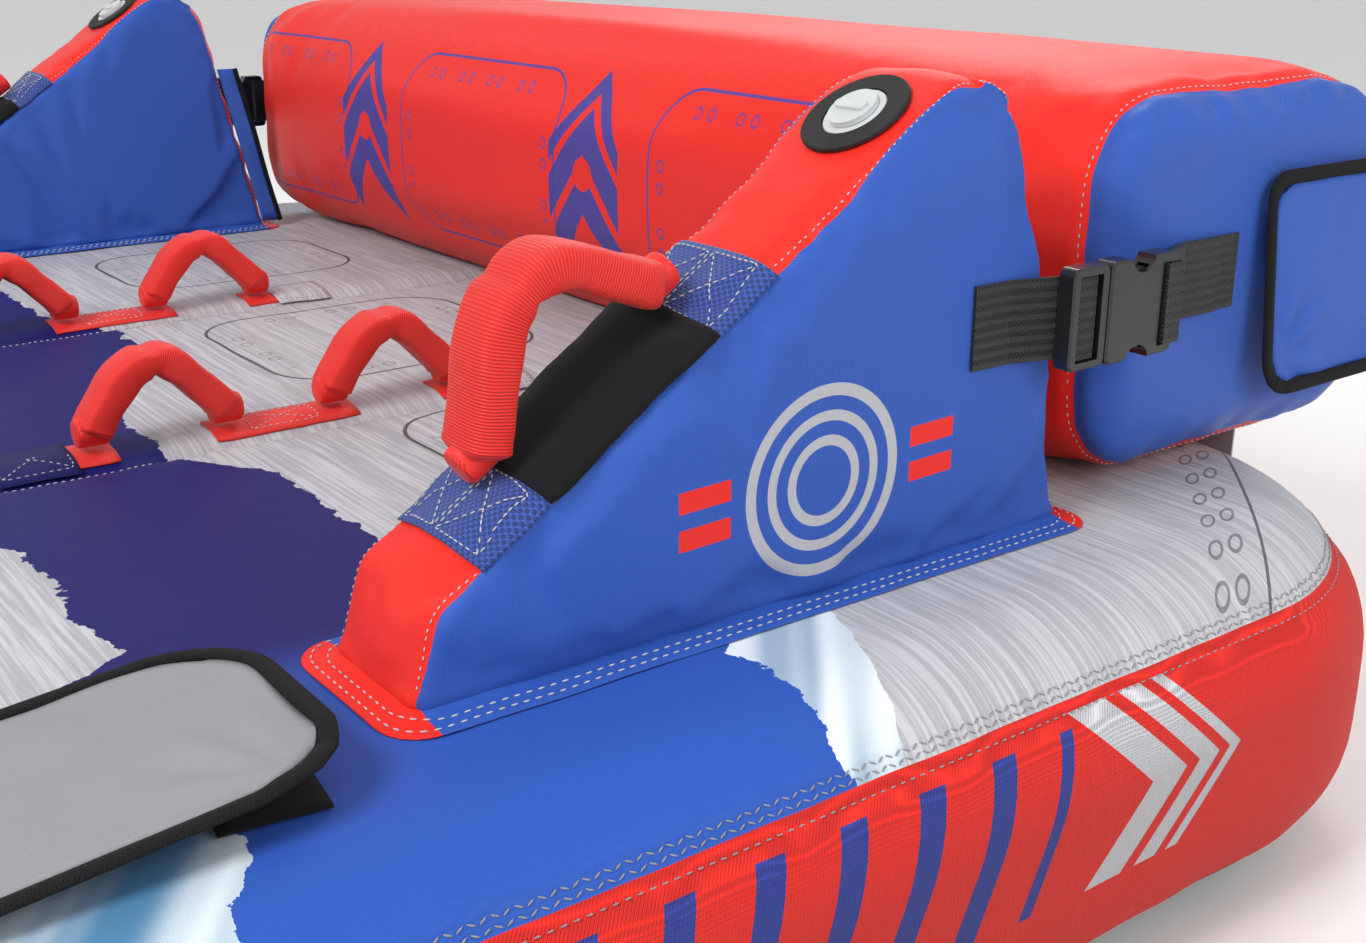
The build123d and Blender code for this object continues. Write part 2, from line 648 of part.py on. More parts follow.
def make_buckles():
    inner, outer = BUCKLE_X
    mid = (inner + outer) / 2
    under = inner - 1.4
    over = mid + 3.0
    strap_low = STRAP_Z - STRAP_WIDTH / 2
    face = WEDGE_OUTER_X + WEBBING / 2
    front_slot = sum(FRONT_SLOT_Y) / 2
    rear_slot = sum(REAR_SLOT_Y) / 2
    cushion_route = [
        (face, STRAP_FRONT_Y),
        (face, STRAP_FRONT_Y + 30),
        (under, FRONT_SLOT_Y[0] - 3),
        (under, front_slot),
        (over, front_slot),
        (over, rear_slot),
        (under - 3.0, rear_slot),
        (under - 3.0, front_slot - 1),
    ]
    save_pair(flat_strap(cushion_route, strap_low), "cushion_straps")

    end_face = BOLSTER_END_X + WEBBING / 2
    slot = sum(FEMALE_SLOT_Y) / 2
    below = inner - 2.4
    above = outer + 2.4
    backrest_route = [
        (end_face, STRAP_REAR_Y),
        (end_face, STRAP_REAR_Y - 60),
        (below, FEMALE_Y[1] + 3),
        (below, slot),
        (above, slot),
        (above, FEMALE_Y[1] + 2),
        (below - 0.5, FEMALE_Y[1] + 10),
        (end_face + 2.6, STRAP_REAR_Y - 60),
        (end_face + 2.6, STRAP_REAR_Y - 22),
    ]
    strap = flat_strap(backrest_route, strap_low)
    for side in SIDES:
        save_side(strap, f"{side}_backrest_strap", side)

    with BuildPart() as male:
        add(buckle_bar_block(MALE_Y, BUCKLE_HALF))
        fillet(male.edges().filter_by(Axis.X), 5)
        chamfer(male.faces().sort_by(Axis.X)[-1].edges(), 1.2)
        for slot_y in (FRONT_SLOT_Y, REAR_SLOT_Y):
            add(buckle_bar_block(slot_y, SLOT_HALF, (inner - 1, outer + 1)), mode=Mode.SUBTRACT)
        # the bar between the slots sits lower than the frame
        bar_y = (FRONT_SLOT_Y[1], REAR_SLOT_Y[0])
        add(buckle_bar_block(bar_y, SLOT_HALF, (mid + 1.6, outer + 1)), mode=Mode.SUBTRACT)
        add(buckle_bar_block((MALE_Y[1] - 1, BLADE_TIP_Y), 6, (mid - 2, mid + 2)))
    for side in SIDES:
        save_side(male.part, f"{side}_buckle_male", side)

    with BuildPart() as female:
        add(buckle_bar_block(FEMALE_Y, BUCKLE_HALF + 0.5, (inner - 1, outer + 1)))
        fillet(female.edges().filter_by(Axis.X), 5)
        chamfer(female.faces().sort_by(Axis.X)[-1].edges(), 1.4)
        mouth = (FEMALE_Y[0] - 1, ARM_TIP_Y + 4)
        add(buckle_bar_block(mouth, CAVITY_HALF, (inner + 1.6, outer - 1.6)), mode=Mode.SUBTRACT)
        # finger notches above and below, where the latch arms show
        with BuildSketch(Plane.YZ.offset(inner - 5)):
            with Locations(
                (ARM_TIP_Y - 8, STRAP_Z + BUCKLE_HALF + 3),
                (ARM_TIP_Y - 8, STRAP_Z - BUCKLE_HALF - 3),
            ):
                Circle(11.5)
        extrude(amount=outer - inner + 10, mode=Mode.SUBTRACT)
        add(buckle_bar_block(FEMALE_SLOT_Y, SLOT_HALF, (inner - 2, outer + 2)), mode=Mode.SUBTRACT)
    for side in SIDES:
        save_side(female.part, f"{side}_buckle_female", side)

    for place, up in (("upper", 1), ("lower", -1)):
        z = STRAP_Z + up * ARM_Z
        with BuildPart() as arm:
            with BuildSketch(Plane.YZ.offset(inner + 2.3)):
                with Locations((ARM_ROOT_Y, z)):
                    Circle(5)
                with Locations(((ARM_ROOT_Y + ARM_TIP_Y - 10) / 2, z)):
                    Rectangle(ARM_TIP_Y - 10 - ARM_ROOT_Y, 8)
                with Locations((ARM_TIP_Y - 10, z + 2.4 * up)):
                    RectangleRounded(20, 11, 4.5)
            extrude(amount=outer - inner - 4.6)
        for side in SIDES:
            save_side(arm.part, f"{side}_latch_arm_{place}", side)


# ---------------------------------------------------------------- tow point
def make_tow_point():
    """A webbing loop sewn to the front of the side band, and the steel ring in it."""
    front = -DECK_REAR
    turn = TOW_WIRE + 1.0 + WEBBING / 2
    with BuildPart() as loop:
        with BuildSketch(Plane.YZ.offset(-STRAP_WIDTH / 2)):
            with BuildLine() as line:
                up = Line((front - 0.2, TOW_Z + turn), (TOW_BAR_Y, TOW_Z + turn))
                bend = ThreePointArc(
                    up @ 1, (TOW_BAR_Y - turn, TOW_Z), (TOW_BAR_Y, TOW_Z - turn)
                )
                Line(bend @ 1, (front - 0.2, TOW_Z - turn))
            trace(line.line, line_width=WEBBING)
        extrude(amount=STRAP_WIDTH)
        with BuildSketch(Plane.XZ.offset(DECK_REAR)):
            with Locations((0, TOW_Z)):
                RectangleRounded(150, 44, 6)
        extrude(amount=1.6)
    save(loop.part, "tow_loop")

    leg_z = -14.0
    bend = 7.0
    with BuildPart() as ring:
        with BuildLine(Plane((0, TOW_BAR_Y, TOW_Z), x_dir=(1, 0, 0), z_dir=(0, -1, 0))) as wire:
            straight = TOW_EYE - bend
            bar = Line((-straight, 0), (straight, 0))
            right = RadiusArc(bar @ 1, (TOW_EYE, -bend), bend)
            down = Line(right @ 1, (TOW_EYE, leg_z))
            bow = ThreePointArc(down @ 1, (0, leg_z - TOW_EYE), (-TOW_EYE, leg_z))
            back = Line(bow @ 1, (-TOW_EYE, -bend))
            RadiusArc(back @ 1, bar @ 0, bend)
        with BuildSketch(Plane(origin=bar @ 0.5, z_dir=bar % 0.5)):
            Circle(TOW_WIRE)
        sweep(path=wire.wires()[0])
    save(ring.part, "tow_ring")


make_deck()
make_cushions()
make_buckles()
make_deck_handles()
make_backrest()
make_rear_web()
make_zipper()
make_flaps()
make_tow_point()
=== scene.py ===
import json
import math
import bpy
import bmesh
from mathutils import Matrix, Vector, noise
from mathutils.bvhtree import BVHTree

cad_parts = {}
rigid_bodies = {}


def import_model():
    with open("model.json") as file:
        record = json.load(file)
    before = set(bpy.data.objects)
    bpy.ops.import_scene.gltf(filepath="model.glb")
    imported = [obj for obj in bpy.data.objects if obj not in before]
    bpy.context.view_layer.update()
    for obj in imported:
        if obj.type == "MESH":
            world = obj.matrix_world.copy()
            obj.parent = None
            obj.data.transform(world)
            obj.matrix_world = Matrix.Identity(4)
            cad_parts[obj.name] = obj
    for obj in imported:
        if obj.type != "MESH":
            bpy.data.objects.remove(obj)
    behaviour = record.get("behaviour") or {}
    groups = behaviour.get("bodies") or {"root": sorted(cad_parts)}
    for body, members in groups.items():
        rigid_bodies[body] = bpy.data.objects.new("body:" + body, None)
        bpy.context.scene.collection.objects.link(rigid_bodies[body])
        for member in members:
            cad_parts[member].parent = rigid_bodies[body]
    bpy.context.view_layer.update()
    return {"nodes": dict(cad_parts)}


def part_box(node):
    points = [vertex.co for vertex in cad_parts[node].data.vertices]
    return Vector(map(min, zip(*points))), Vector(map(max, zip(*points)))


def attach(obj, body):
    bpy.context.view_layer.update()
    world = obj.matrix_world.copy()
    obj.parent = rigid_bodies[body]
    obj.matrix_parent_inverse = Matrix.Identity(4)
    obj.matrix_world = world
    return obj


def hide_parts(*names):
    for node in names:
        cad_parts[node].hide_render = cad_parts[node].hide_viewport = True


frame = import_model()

scene = bpy.context.scene
sides = {"left": 1.0, "right": -1.0}

# colours, linear
red = (0.80, 0.022, 0.013, 1)
royal = (0.028, 0.092, 0.42, 1)
# deep blue is the grip patches' own colour, and also the painted shade on the deck band's flat top
deepBlue = (0.009, 0.010, 0.120, 1)
greyPrint = (0.50, 0.50, 0.53, 1)
flapGrey = (0.27, 0.27, 0.29, 1)
inkBlue = (0.03, 0.05, 0.30, 1)
inkBlack = (0.035, 0.035, 0.045, 1)
threadWhite = (0.82, 0.82, 0.84, 1)


# small helpers for shader nodes
class Net:
    # short calls for the nodes of one tree
    def __init__(self, tree):
        self.tree = tree

    def node(self, kind, **props):
        made = self.tree.nodes.new(kind)
        for key, value in props.items():
            setattr(made, key, value)
        return made

    def put(self, socket, value):
        if isinstance(value, bpy.types.NodeSocket):
            self.tree.links.new(value, socket)
        else:
            socket.default_value = value

    def math(self, operation, a, b=0.0, c=0.0):
        made = self.node("ShaderNodeMath", operation=operation)
        for socket, value in zip(made.inputs, (a, b, c)):
            self.put(socket, value)
        return made.outputs[0]

    def chain(self, operation, *values):
        total = values[0]
        for value in values[1:]:
            total = self.math(operation, total, value)
        return total

    def step(self, value, edge, soft):
        # 0 below the edge, 1 above it
        made = self.node("ShaderNodeMapRange", interpolation_type="SMOOTHSTEP")
        self.put(made.inputs["Value"], value)
        self.put(made.inputs["From Min"], edge - soft)
        self.put(made.inputs["From Max"], edge + soft)
        return made.outputs[0]

    def mix(self, factor, a, b):
        made = self.node("ShaderNodeMix", data_type="RGBA")
        self.put(made.inputs[0], factor)
        self.put(made.inputs[6], a)
        self.put(made.inputs[7], b)
        return made.outputs[2]

    def noise(self, vector, scale, detail=3.0, rough=0.5):
        made = self.node("ShaderNodeTexNoise")
        self.put(made.inputs["Vector"], vector)
        made.inputs["Scale"].default_value = scale
        made.inputs["Detail"].default_value = detail
        made.inputs["Roughness"].default_value = rough
        return made.outputs["Fac"]

    def scaled(self, vector, factors):
        made = self.node("ShaderNodeVectorMath", operation="MULTIPLY")
        self.put(made.inputs[0], vector)
        made.inputs[1].default_value = factors
        return made.outputs[0]

    def place(self):
        coords = self.node("ShaderNodeTexCoord").outputs["Object"]
        split = self.node("ShaderNodeSeparateXYZ")
        self.put(split.inputs[0], coords)
        return coords, split.outputs[0], split.outputs[1], split.outputs[2]

    def uv(self):
        split = self.node("ShaderNodeSeparateXYZ")
        self.put(split.inputs[0], self.node("ShaderNodeUVMap", uv_map="along").outputs[0])
        return split.outputs[0], split.outputs[1]


def newGroup(name, inputs, outputs):
    tree = bpy.data.node_groups.new(name, "ShaderNodeTree")
    for label, kind, value in inputs:
        socket = tree.interface.new_socket(label, in_out="INPUT", socket_type=kind)
        if value is not None:
            socket.default_value = value
    for label, kind in outputs:
        tree.interface.new_socket(label, in_out="OUTPUT", socket_type=kind)
    net = Net(tree)
    return tree, net, net.node("NodeGroupInput").outputs, net.node("NodeGroupOutput").inputs


# shared effects
def clothGroup():
    # woven cloth: thread relief, soft creases and slight fading
    tree, net, given, out = newGroup(
        "wovenCloth",
        [
            ("Threads", "NodeSocketFloat", 5200.0),
            ("Weave", "NodeSocketFloat", 0.25),
            ("Creases", "NodeSocketFloat", 0.6),
            ("Fading", "NodeSocketFloat", 0.12),
        ],
        [("Height", "NodeSocketFloat"), ("Tint", "NodeSocketFloat"), ("Rough", "NodeSocketFloat")],
    )
    coords, x, y, z = net.place()
    over = net.math("SINE", net.math("MULTIPLY", net.math("ADD", x, z), given["Threads"]))
    under = net.math("SINE", net.math("MULTIPLY", net.math("SUBTRACT", y, z), given["Threads"]))
    weave = net.math("MULTIPLY", net.math("MULTIPLY", over, under), given["Weave"])
    broad = net.noise(net.scaled(coords, (1.0, 1.0, 1.6)), 9.0, 4.0, 0.55)
    tight = net.noise(net.scaled(coords, (1.4, 1.0, 2.2)), 38.0, 3.0, 0.6)
    creases = net.math("ADD", net.math("MULTIPLY", broad, 3.0), net.math("MULTIPLY", tight, 0.7))
    creases = net.math("MULTIPLY", creases, given["Creases"])
    net.put(out["Height"], net.math("ADD", weave, creases))
    patchy = net.math("SUBTRACT", net.noise(coords, 5.0, 5.0, 0.6), 0.5)
    grain = net.math("SUBTRACT", net.noise(coords, 700.0, 2.0, 0.5), 0.5)
    fade = net.math("ADD", patchy, net.math("MULTIPLY", grain, 0.6))
    net.put(out["Tint"], net.math("MULTIPLY_ADD", fade, given["Fading"], 1.0))
    net.put(out["Rough"], net.math("MULTIPLY_ADD", fade, 0.16, 0.0))
    return tree


def ribGroup():
    # webbing: ribs across its length and a finer thread along it, on its own uv
    tree, net, given, out = newGroup(
        "webbingRibs",
        [
            ("Rib Pitch", "NodeSocketFloat", 0.0021),
            ("Thread Pitch", "NodeSocketFloat", 0.0016),
        ],
        [("Height", "NodeSocketFloat"), ("Tint", "NodeSocketFloat")],
    )
    along, across = net.uv()
    turn = net.math("MULTIPLY", net.math("DIVIDE", along, given["Rib Pitch"]), 2 * math.pi)
    rib = net.math("MULTIPLY_ADD", net.math("SINE", turn), 0.5, 0.5)
    rib = net.math("POWER", rib, 0.6)
    turn = net.math("MULTIPLY", net.math("DIVIDE", across, given["Thread Pitch"]), 2 * math.pi)
    thread = net.math("MULTIPLY_ADD", net.math("SINE", turn), 0.5, 0.5)
    net.put(out["Height"], net.math("MULTIPLY_ADD", thread, 0.35, rib))
    net.put(out["Tint"], net.math("MULTIPLY_ADD", rib, 0.45, 0.62))
    return tree


def strapGroup():
    # flat herringbone strap, from the run along it and the distance across it
    tree, net, given, out = newGroup(
        "herringbone",
        [("Along", "NodeSocketFloat", 0.0), ("Across", "NodeSocketFloat", 0.0)],
        [("Height", "NodeSocketFloat"), ("Tint", "NodeSocketFloat")],
    )
    fold = net.math("PINGPONG", given["Across"], 0.0032)
    turn = net.math("MULTIPLY", net.math("ADD", given["Along"], fold), 2 * math.pi / 0.0024)
    twill = net.math("MULTIPLY_ADD", net.math("SINE", turn), 0.5, 0.5)
    groove = net.math("MINIMUM",
                      net.math("MULTIPLY", net.math("PINGPONG", given["Across"], 0.0032), 1400.0), 1.0)
    net.put(out["Height"], net.math("MULTIPLY", twill, net.math("MULTIPLY_ADD", groove, 0.5, 0.5)))
    net.put(out["Tint"], net.math("MULTIPLY_ADD", twill, 1.5, 0.45))
    return tree


def basketGroup():
    # coarse basket weave on a strap's own uv
    tree, net, given, out = newGroup(
        "basketWeave", [("Pitch", "NodeSocketFloat", 0.0042)],
        [("Height", "NodeSocketFloat"), ("Tint", "NodeSocketFloat")]
    )
    along, across = net.uv()
    turn = net.math("DIVIDE", 2 * math.pi, given["Pitch"])
    a = net.math("SINE", net.math("MULTIPLY", along, turn))
    b = net.math("SINE", net.math("MULTIPLY", across, turn))
    checks = net.math("MULTIPLY", a, b)
    over = net.step(checks, 0.0, 0.35)
    net.put(out["Height"], net.math("ABSOLUTE", checks))
    net.put(out["Tint"], net.math("MULTIPLY_ADD", over, 0.75, 0.62))
    return tree


def panelGroup():
    # a printed access panel: rounded outline with pairs of rivets just inside it
    tree, net, given, out = newGroup(
        "rivetedOutline",
        [
            ("Across", "NodeSocketFloat", 0.0),
            ("Along", "NodeSocketFloat", 0.0),
            ("Half Width", "NodeSocketFloat", 0.15),
            ("Half Length", "NodeSocketFloat", 0.12),
            ("Corner", "NodeSocketFloat", 0.05),
            ("Line", "NodeSocketFloat", 0.0016),
            ("Rivet", "NodeSocketFloat", 0.0062),
        ],
        [("Outline", "NodeSocketFloat"), ("Rivets", "NodeSocketFloat"), ("Inside", "NodeSocketFloat")],
    )
    farX = net.math("ABSOLUTE", given["Across"])
    farY = net.math("ABSOLUTE", given["Along"])
    restX = net.math("ADD", net.math("SUBTRACT", farX, given["Half Width"]), given["Corner"])
    restY = net.math("ADD", net.math("SUBTRACT", farY, given["Half Length"]), given["Corner"])
    outX = net.math("MAXIMUM", restX, 0.0)
    outY = net.math("MAXIMUM", restY, 0.0)
    outer = net.math("SQRT", net.math("ADD", net.math("MULTIPLY", outX, outX),
                                      net.math("MULTIPLY", outY, outY)))
    inner = net.math("MINIMUM", net.math("MAXIMUM", restX, restY), 0.0)
    away = net.math("SUBTRACT", net.math("ADD", outer, inner), given["Corner"])
    net.put(out["Outline"], net.math("LESS_THAN", net.math("ABSOLUTE", away), given["Line"]))
    net.put(out["Inside"], net.math("LESS_THAN", away, 0.0))
    gap = net.math("MULTIPLY", given["Rivet"], 3.2)
    rows = []
    for run, runHalf, wall, wallHalf in (
        (given["Across"], "Half Width", farY, "Half Length"),
        (given["Along"], "Half Length", farX, "Half Width"),
    ):
        pitch = net.math("MULTIPLY", given["Rivet"], 3.4)
        cell = net.math("DIVIDE", run, pitch)
        local = net.math("MULTIPLY", net.math("SUBTRACT", net.math("FRACT", cell), 0.5), pitch)
        off = net.math("SUBTRACT", wall, net.math("SUBTRACT", given[wallHalf], gap))
        ring = net.math("SQRT", net.math("ADD", net.math("MULTIPLY", local, local),
                                         net.math("MULTIPLY", off, off)))
        ring = net.math("ABSOLUTE", net.math("SUBTRACT", ring, net.math("MULTIPLY", given["Rivet"], 0.8)))
        ring = net.math("LESS_THAN", ring, net.math("MULTIPLY", given["Rivet"], 0.17))
        kept = net.math("LESS_THAN", net.math("ABSOLUTE", run),
                        net.math("SUBTRACT", given[runHalf], given["Corner"]))
        third = net.math("FRACT", net.math("DIVIDE", net.math("FLOOR", cell), 3.0))
        kept = net.math("MULTIPLY", kept, net.math("LESS_THAN", third, 0.6))
        rows.append(net.math("MULTIPLY", ring, kept))
    net.put(out["Rivets"], net.math("MAXIMUM", rows[0], rows[1]))
    return tree


cloth = clothGroup()
ribs = ribGroup()
rivetedPanel = panelGroup()
herringbone = strapGroup()
basket = basketGroup()


# materials
def startMaterial(name, rough=0.5, sheen=0.0, specular=0.5, coat=0.0):
    material = bpy.data.materials.new(name)
    material.use_nodes = True
    net = Net(material.node_tree)
    shader = material.node_tree.nodes["Principled BSDF"]
    shader.inputs["Roughness"].default_value = rough
    shader.inputs["Sheen Weight"].default_value = sheen
    shader.inputs["Sheen Roughness"].default_value = 0.4
    shader.inputs["Specular IOR Level"].default_value = specular
    shader.inputs["Coat Weight"].default_value = coat
    return material, net, shader


def useGroup(net, tree, **values):
    made = net.node("ShaderNodeGroup")
    made.node_tree = tree
    for key, value in values.items():
        net.put(made.inputs[key.replace("_", " ")], value)
    return made.outputs


def dress(net, shader, colour, tint, height, distance, strength=1.0):
    shade = net.node("ShaderNodeMix", data_type="RGBA", blend_type="MULTIPLY")
    shade.inputs[0].default_value = 1.0
    net.put(shade.inputs[6], colour)
    combine = net.node("ShaderNodeCombineColor")
    for socket in combine.inputs[:3]:
        net.put(socket, tint)
    net.put(shade.inputs[7], combine.outputs[0])
    net.put(shader.inputs["Base Color"], shade.outputs[2])
    bump = net.node("ShaderNodeBump")
    bump.inputs["Distance"].default_value = distance
    bump.inputs["Strength"].default_value = strength
    net.put(bump.inputs["Height"], height)
    net.put(shader.inputs["Normal"], bump.outputs[0])


def nylon(name, colour, paint=None, threads=5200.0, weave=0.10, creases=0.6, rough=0.42, sheen=0.03,
          specular=0.20):
    # satin coated nylon; paint(net, colour) adds a print
    material, net, shader = startMaterial(name, rough, sheen, specular)
    woven = useGroup(net, cloth, Threads=threads, Weave=weave, Creases=creases)
    painted = paint(net, colour) if paint else colour
    dress(net, shader, painted, woven["Tint"], woven["Height"], 0.0011)
    net.put(shader.inputs["Roughness"], net.math("ADD", woven["Rough"], rough))
    return material


def webbing(name, colour, pitch=0.0021, thread=0.0016, rough=0.55, depth=0.0007):
    material, net, shader = startMaterial(name, rough, 0.1, 0.4)
    ribbed = useGroup(net, ribs, Rib_Pitch=pitch, Thread_Pitch=thread)
    dress(net, shader, colour, ribbed["Tint"], ribbed["Height"], depth)
    return material


def strapping(name, colour):
    material, net, shader = startMaterial(name, 0.6, 0.1, 0.4)
    y, z = net.place()[2:]
    woven = useGroup(net, herringbone, Along=y, Across=z)
    dress(net, shader, colour, woven["Tint"], woven["Height"], 0.0009)
    return material


def basketCloth(name, colour):
    material, net, shader = startMaterial(name, 0.55, 0.15, 0.35)
    woven = useGroup(net, basket)
    dress(net, shader, colour, woven["Tint"], woven["Height"], 0.0006)
    return material


def plastic(name, colour, rough, grain=0.15, coat=0.0):
    material, net, shader = startMaterial(name, rough, 0.0, 0.5, coat)
    coords = net.place()[0]
    fine = net.noise(coords, 2400.0, 2.0)
    marks = net.noise(coords, 60.0, 5.0, 0.7)
    tint = net.math("MULTIPLY_ADD", marks, 0.25, 0.88)
    dress(net, shader, colour, tint, net.math("MULTIPLY_ADD", marks, 0.6, fine), 0.0002, grain)
    net.put(shader.inputs["Roughness"], net.math("MULTIPLY_ADD", marks, 0.14, rough - 0.05))
    return material


def threadMaterial(name, colour):
    material, net, shader = startMaterial(name, 0.6, 0.3)
    x, y, z = net.place()[1:]
    twist = net.math("SINE", net.math("MULTIPLY", net.chain("ADD", x, y, z), 9000.0))
    dress(net, shader, colour, net.math("MULTIPLY_ADD", twist, 0.08, 0.94), twist, 0.0002)
    return material


def shifted(net, value, centre):
    return net.math("SUBTRACT", value, centre)


# the torn edges of the deck's blue band: a resting line, and tongues and bites that leave it;
# each is its start, its end, how softly it begins and ends, and how far it reaches
deckTears = {
    "rearRest": 0.10,
    "rearReaches": ((-0.24, -0.02, 0.04, 0.04), (0.02, 0.26, 0.05, -0.045)),
    "frontRest": -0.13,
    "frontReaches": ((0.06, 0.22, 0.05, -0.04), (0.32, 0.54, 0.02, 0.045), (0.66, 0.76, 0.04, 0.035)),
    "shoulder": 0.63,  # from here out the rear edge lies further back
    "shoulderSoft": 0.04,
    "shoulderReach": 0.075,
    "paleStart": 0.55,  # the pale streaks end on a line that slopes forward to the rims
    "paleSlope": -0.42,
}


def tornEdge(net, across, rest, reaches):
    edge = rest
    for start, end, soft, reach in reaches:
        within = net.math("SUBTRACT", net.step(across, start, soft), net.step(across, end, soft))
        edge = net.math("MULTIPLY_ADD", within, reach, edge)
    return edge


def deckPrint(net, colour):
    # brushed sheet metal with riveted panels, a torn blue band whose flat top carries painted shade, and
    # pale streaks beside it
    coords, x, y, z = net.place()
    strokes = net.noise(net.scaled(coords, (2.0, 75.0, 1.2)), 5.0, 4.0, 0.6)
    clouds = net.noise(coords, 4.5, 3.0)
    metal = net.mix(net.step(strokes, 0.52, 0.10), (0.30, 0.30, 0.33, 1), colour)
    metal = net.mix(net.math("MULTIPLY", clouds, 0.5), metal, (0.62, 0.62, 0.64, 1))
    panels = [(-0.415, 0.34, 0.100, 0.125), (-0.02, 0.325, 0.125, 0.125), (0.385, 0.335, 0.15, 0.125),
              (0, -0.40, 0.13, 0.15), (-0.42, -0.42, 0.13, 0.15)]
    for centreX, centreY, halfX, halfY in panels:
        made = useGroup(net, rivetedPanel, Across=shifted(net, x, centreX),
                        Along=shifted(net, y, centreY),
                        Half_Width=halfX, Half_Length=halfY, Corner=0.055)
        metal = net.mix(net.math("MULTIPLY", made["Outline"], 0.85), metal, inkBlack)
        metal = net.mix(net.math("MULTIPLY", made["Rivets"], 0.45), metal, inkBlack)
    # the curved seam line and its rivet pairs on the rear shoulder
    side = net.math("ABSOLUTE", x)
    seam = net.math("SUBTRACT", net.chain("ADD", y, net.math("MULTIPLY", side, 1.06)), 1.375)
    onSide = net.math("GREATER_THAN", side, 0.60)
    line = net.math("MULTIPLY", net.math("LESS_THAN", net.math("ABSOLUTE", seam), 0.0016), onSide)
    metal = net.mix(net.math("MULTIPLY", line, 0.8), metal, inkBlack)
    dots = None
    for offset in (-0.026, -0.046):
        run = net.math("SUBTRACT", net.math("FRACT", net.math("DIVIDE", side, 0.028)), 0.5)
        run = net.math("MULTIPLY", run, 0.028)
        off = net.math("SUBTRACT", seam, offset)
        ring = net.math("SQRT", net.math("ADD", net.math("MULTIPLY", run, run),
                                         net.math("MULTIPLY", off, off)))
        ring = net.math("LESS_THAN", net.math("ABSOLUTE", net.math("SUBTRACT", ring, 0.0062)), 0.0013)
        dots = ring if dots is None else net.math("MAXIMUM", dots, ring)
    metal = net.mix(net.chain("MULTIPLY", dots, onSide, 0.6), metal, inkBlack)
    # torn edges across the deck, with a ragged fringe
    ragged = net.math("SUBTRACT", net.noise(coords, 30.0, 5.0, 0.62), 0.5)
    ragged = net.math("MULTIPLY", ragged, 0.040)
    rearEdge = tornEdge(net, x, deckTears["rearRest"], deckTears["rearReaches"])
    outer = net.step(side, deckTears["shoulder"], deckTears["shoulderSoft"])
    rearEdge = net.math("MULTIPLY_ADD", outer, deckTears["shoulderReach"], rearEdge)
    paleEdge = net.math("MULTIPLY_ADD", side, deckTears["paleSlope"], deckTears["paleStart"])
    frontEdge = tornEdge(net, side, deckTears["frontRest"], deckTears["frontReaches"])
    run = net.math("ADD", y, ragged)
    behind = net.math("GREATER_THAN", run, rearEdge)
    ahead = net.math("LESS_THAN", run, frontEdge)
    # mask for the painted shade: deep blue on the band's flat top, easing to royal out on the shoulder
    shoulder = net.step(side, 0.60, 0.05)
    onShoulder = net.math("GREATER_THAN", side, 0.60)
    brushed = net.math("ADD", net.math("MULTIPLY", x, 0.8), y)
    combine = net.node("ShaderNodeCombineXYZ")
    net.put(combine.inputs[0], brushed)
    net.put(combine.inputs[1], net.math("MULTIPLY", z, 0.3))
    streak = net.noise(combine.outputs[0], 17.0, 2.0, 0.5)
    pale = net.mix(net.step(streak, 0.50, 0.16), (0.07, 0.20, 0.36, 1), (0.78, 0.84, 0.86, 1))
    nearBand = net.math("LESS_THAN", net.math("ADD", y, net.math("MULTIPLY", ragged, 0.3)), paleEdge)
    rearZone = net.mix(net.math("MULTIPLY", nearBand, onShoulder), metal, pale)
    frontZone = net.mix(onShoulder, metal, pale)
    # painted shade: the band's flat top is darkened to deep blue, and only the shoulder keeps the royal
    # blue
    shade = net.mix(shoulder, deepBlue, royal)
    banded = net.mix(behind, shade, rearZone)
    return net.mix(ahead, banded, frontZone)


def chevrons(net, across, height, centre, half, bands, slant):
    # ">" shapes side by side: across runs to the tips, height is up
    fold = net.math("MULTIPLY", net.math("ABSOLUTE", shifted(net, height, centre)), slant)
    run = net.math("ADD", across, fold)
    inside = net.math("LESS_THAN", net.math("ABSOLUTE", shifted(net, height, centre)), half)
    total = None
    for start, width in bands:
        band = net.math("LESS_THAN", net.math("ABSOLUTE", shifted(net, run, start)), width / 2)
        total = band if total is None else net.math("MAXIMUM", total, band)
    return net.math("MULTIPLY", total, inside)


def sideBandPrint(net, colour):
    # three pale chevrons pointing back, and slanted blue bars ahead of them
    x, y, z = net.place()[1:]
    onSide = net.math("GREATER_THAN", net.math("ABSOLUTE", x), 0.74)
    tips = [(0.392, 0.030), (0.428, 0.018), (0.452, 0.010)]
    pale = chevrons(net, y, z, 0.150, 0.050, tips, 1.05)
    slanted = net.math("SUBTRACT", y, net.math("MULTIPLY", z, 0.45))
    cell = net.math("FRACT", net.math("DIVIDE", slanted, 0.052))
    bars = net.math("LESS_THAN", net.math("ABSOLUTE", net.math("SUBTRACT", cell, 0.5)), 0.17)
    reach = net.math("LESS_THAN", net.math("ABSOLUTE", shifted(net, slanted, 0.04)), 0.195)
    tall = net.math("LESS_THAN", net.math("ABSOLUTE", shifted(net, z, 0.148)), 0.046)
    bars = net.chain("MULTIPLY", bars, reach, tall, onSide)
    painted = net.mix(bars, colour, inkBlue)
    return net.mix(net.math("MULTIPLY", pale, onSide), painted, (0.62, 0.62, 0.65, 1))


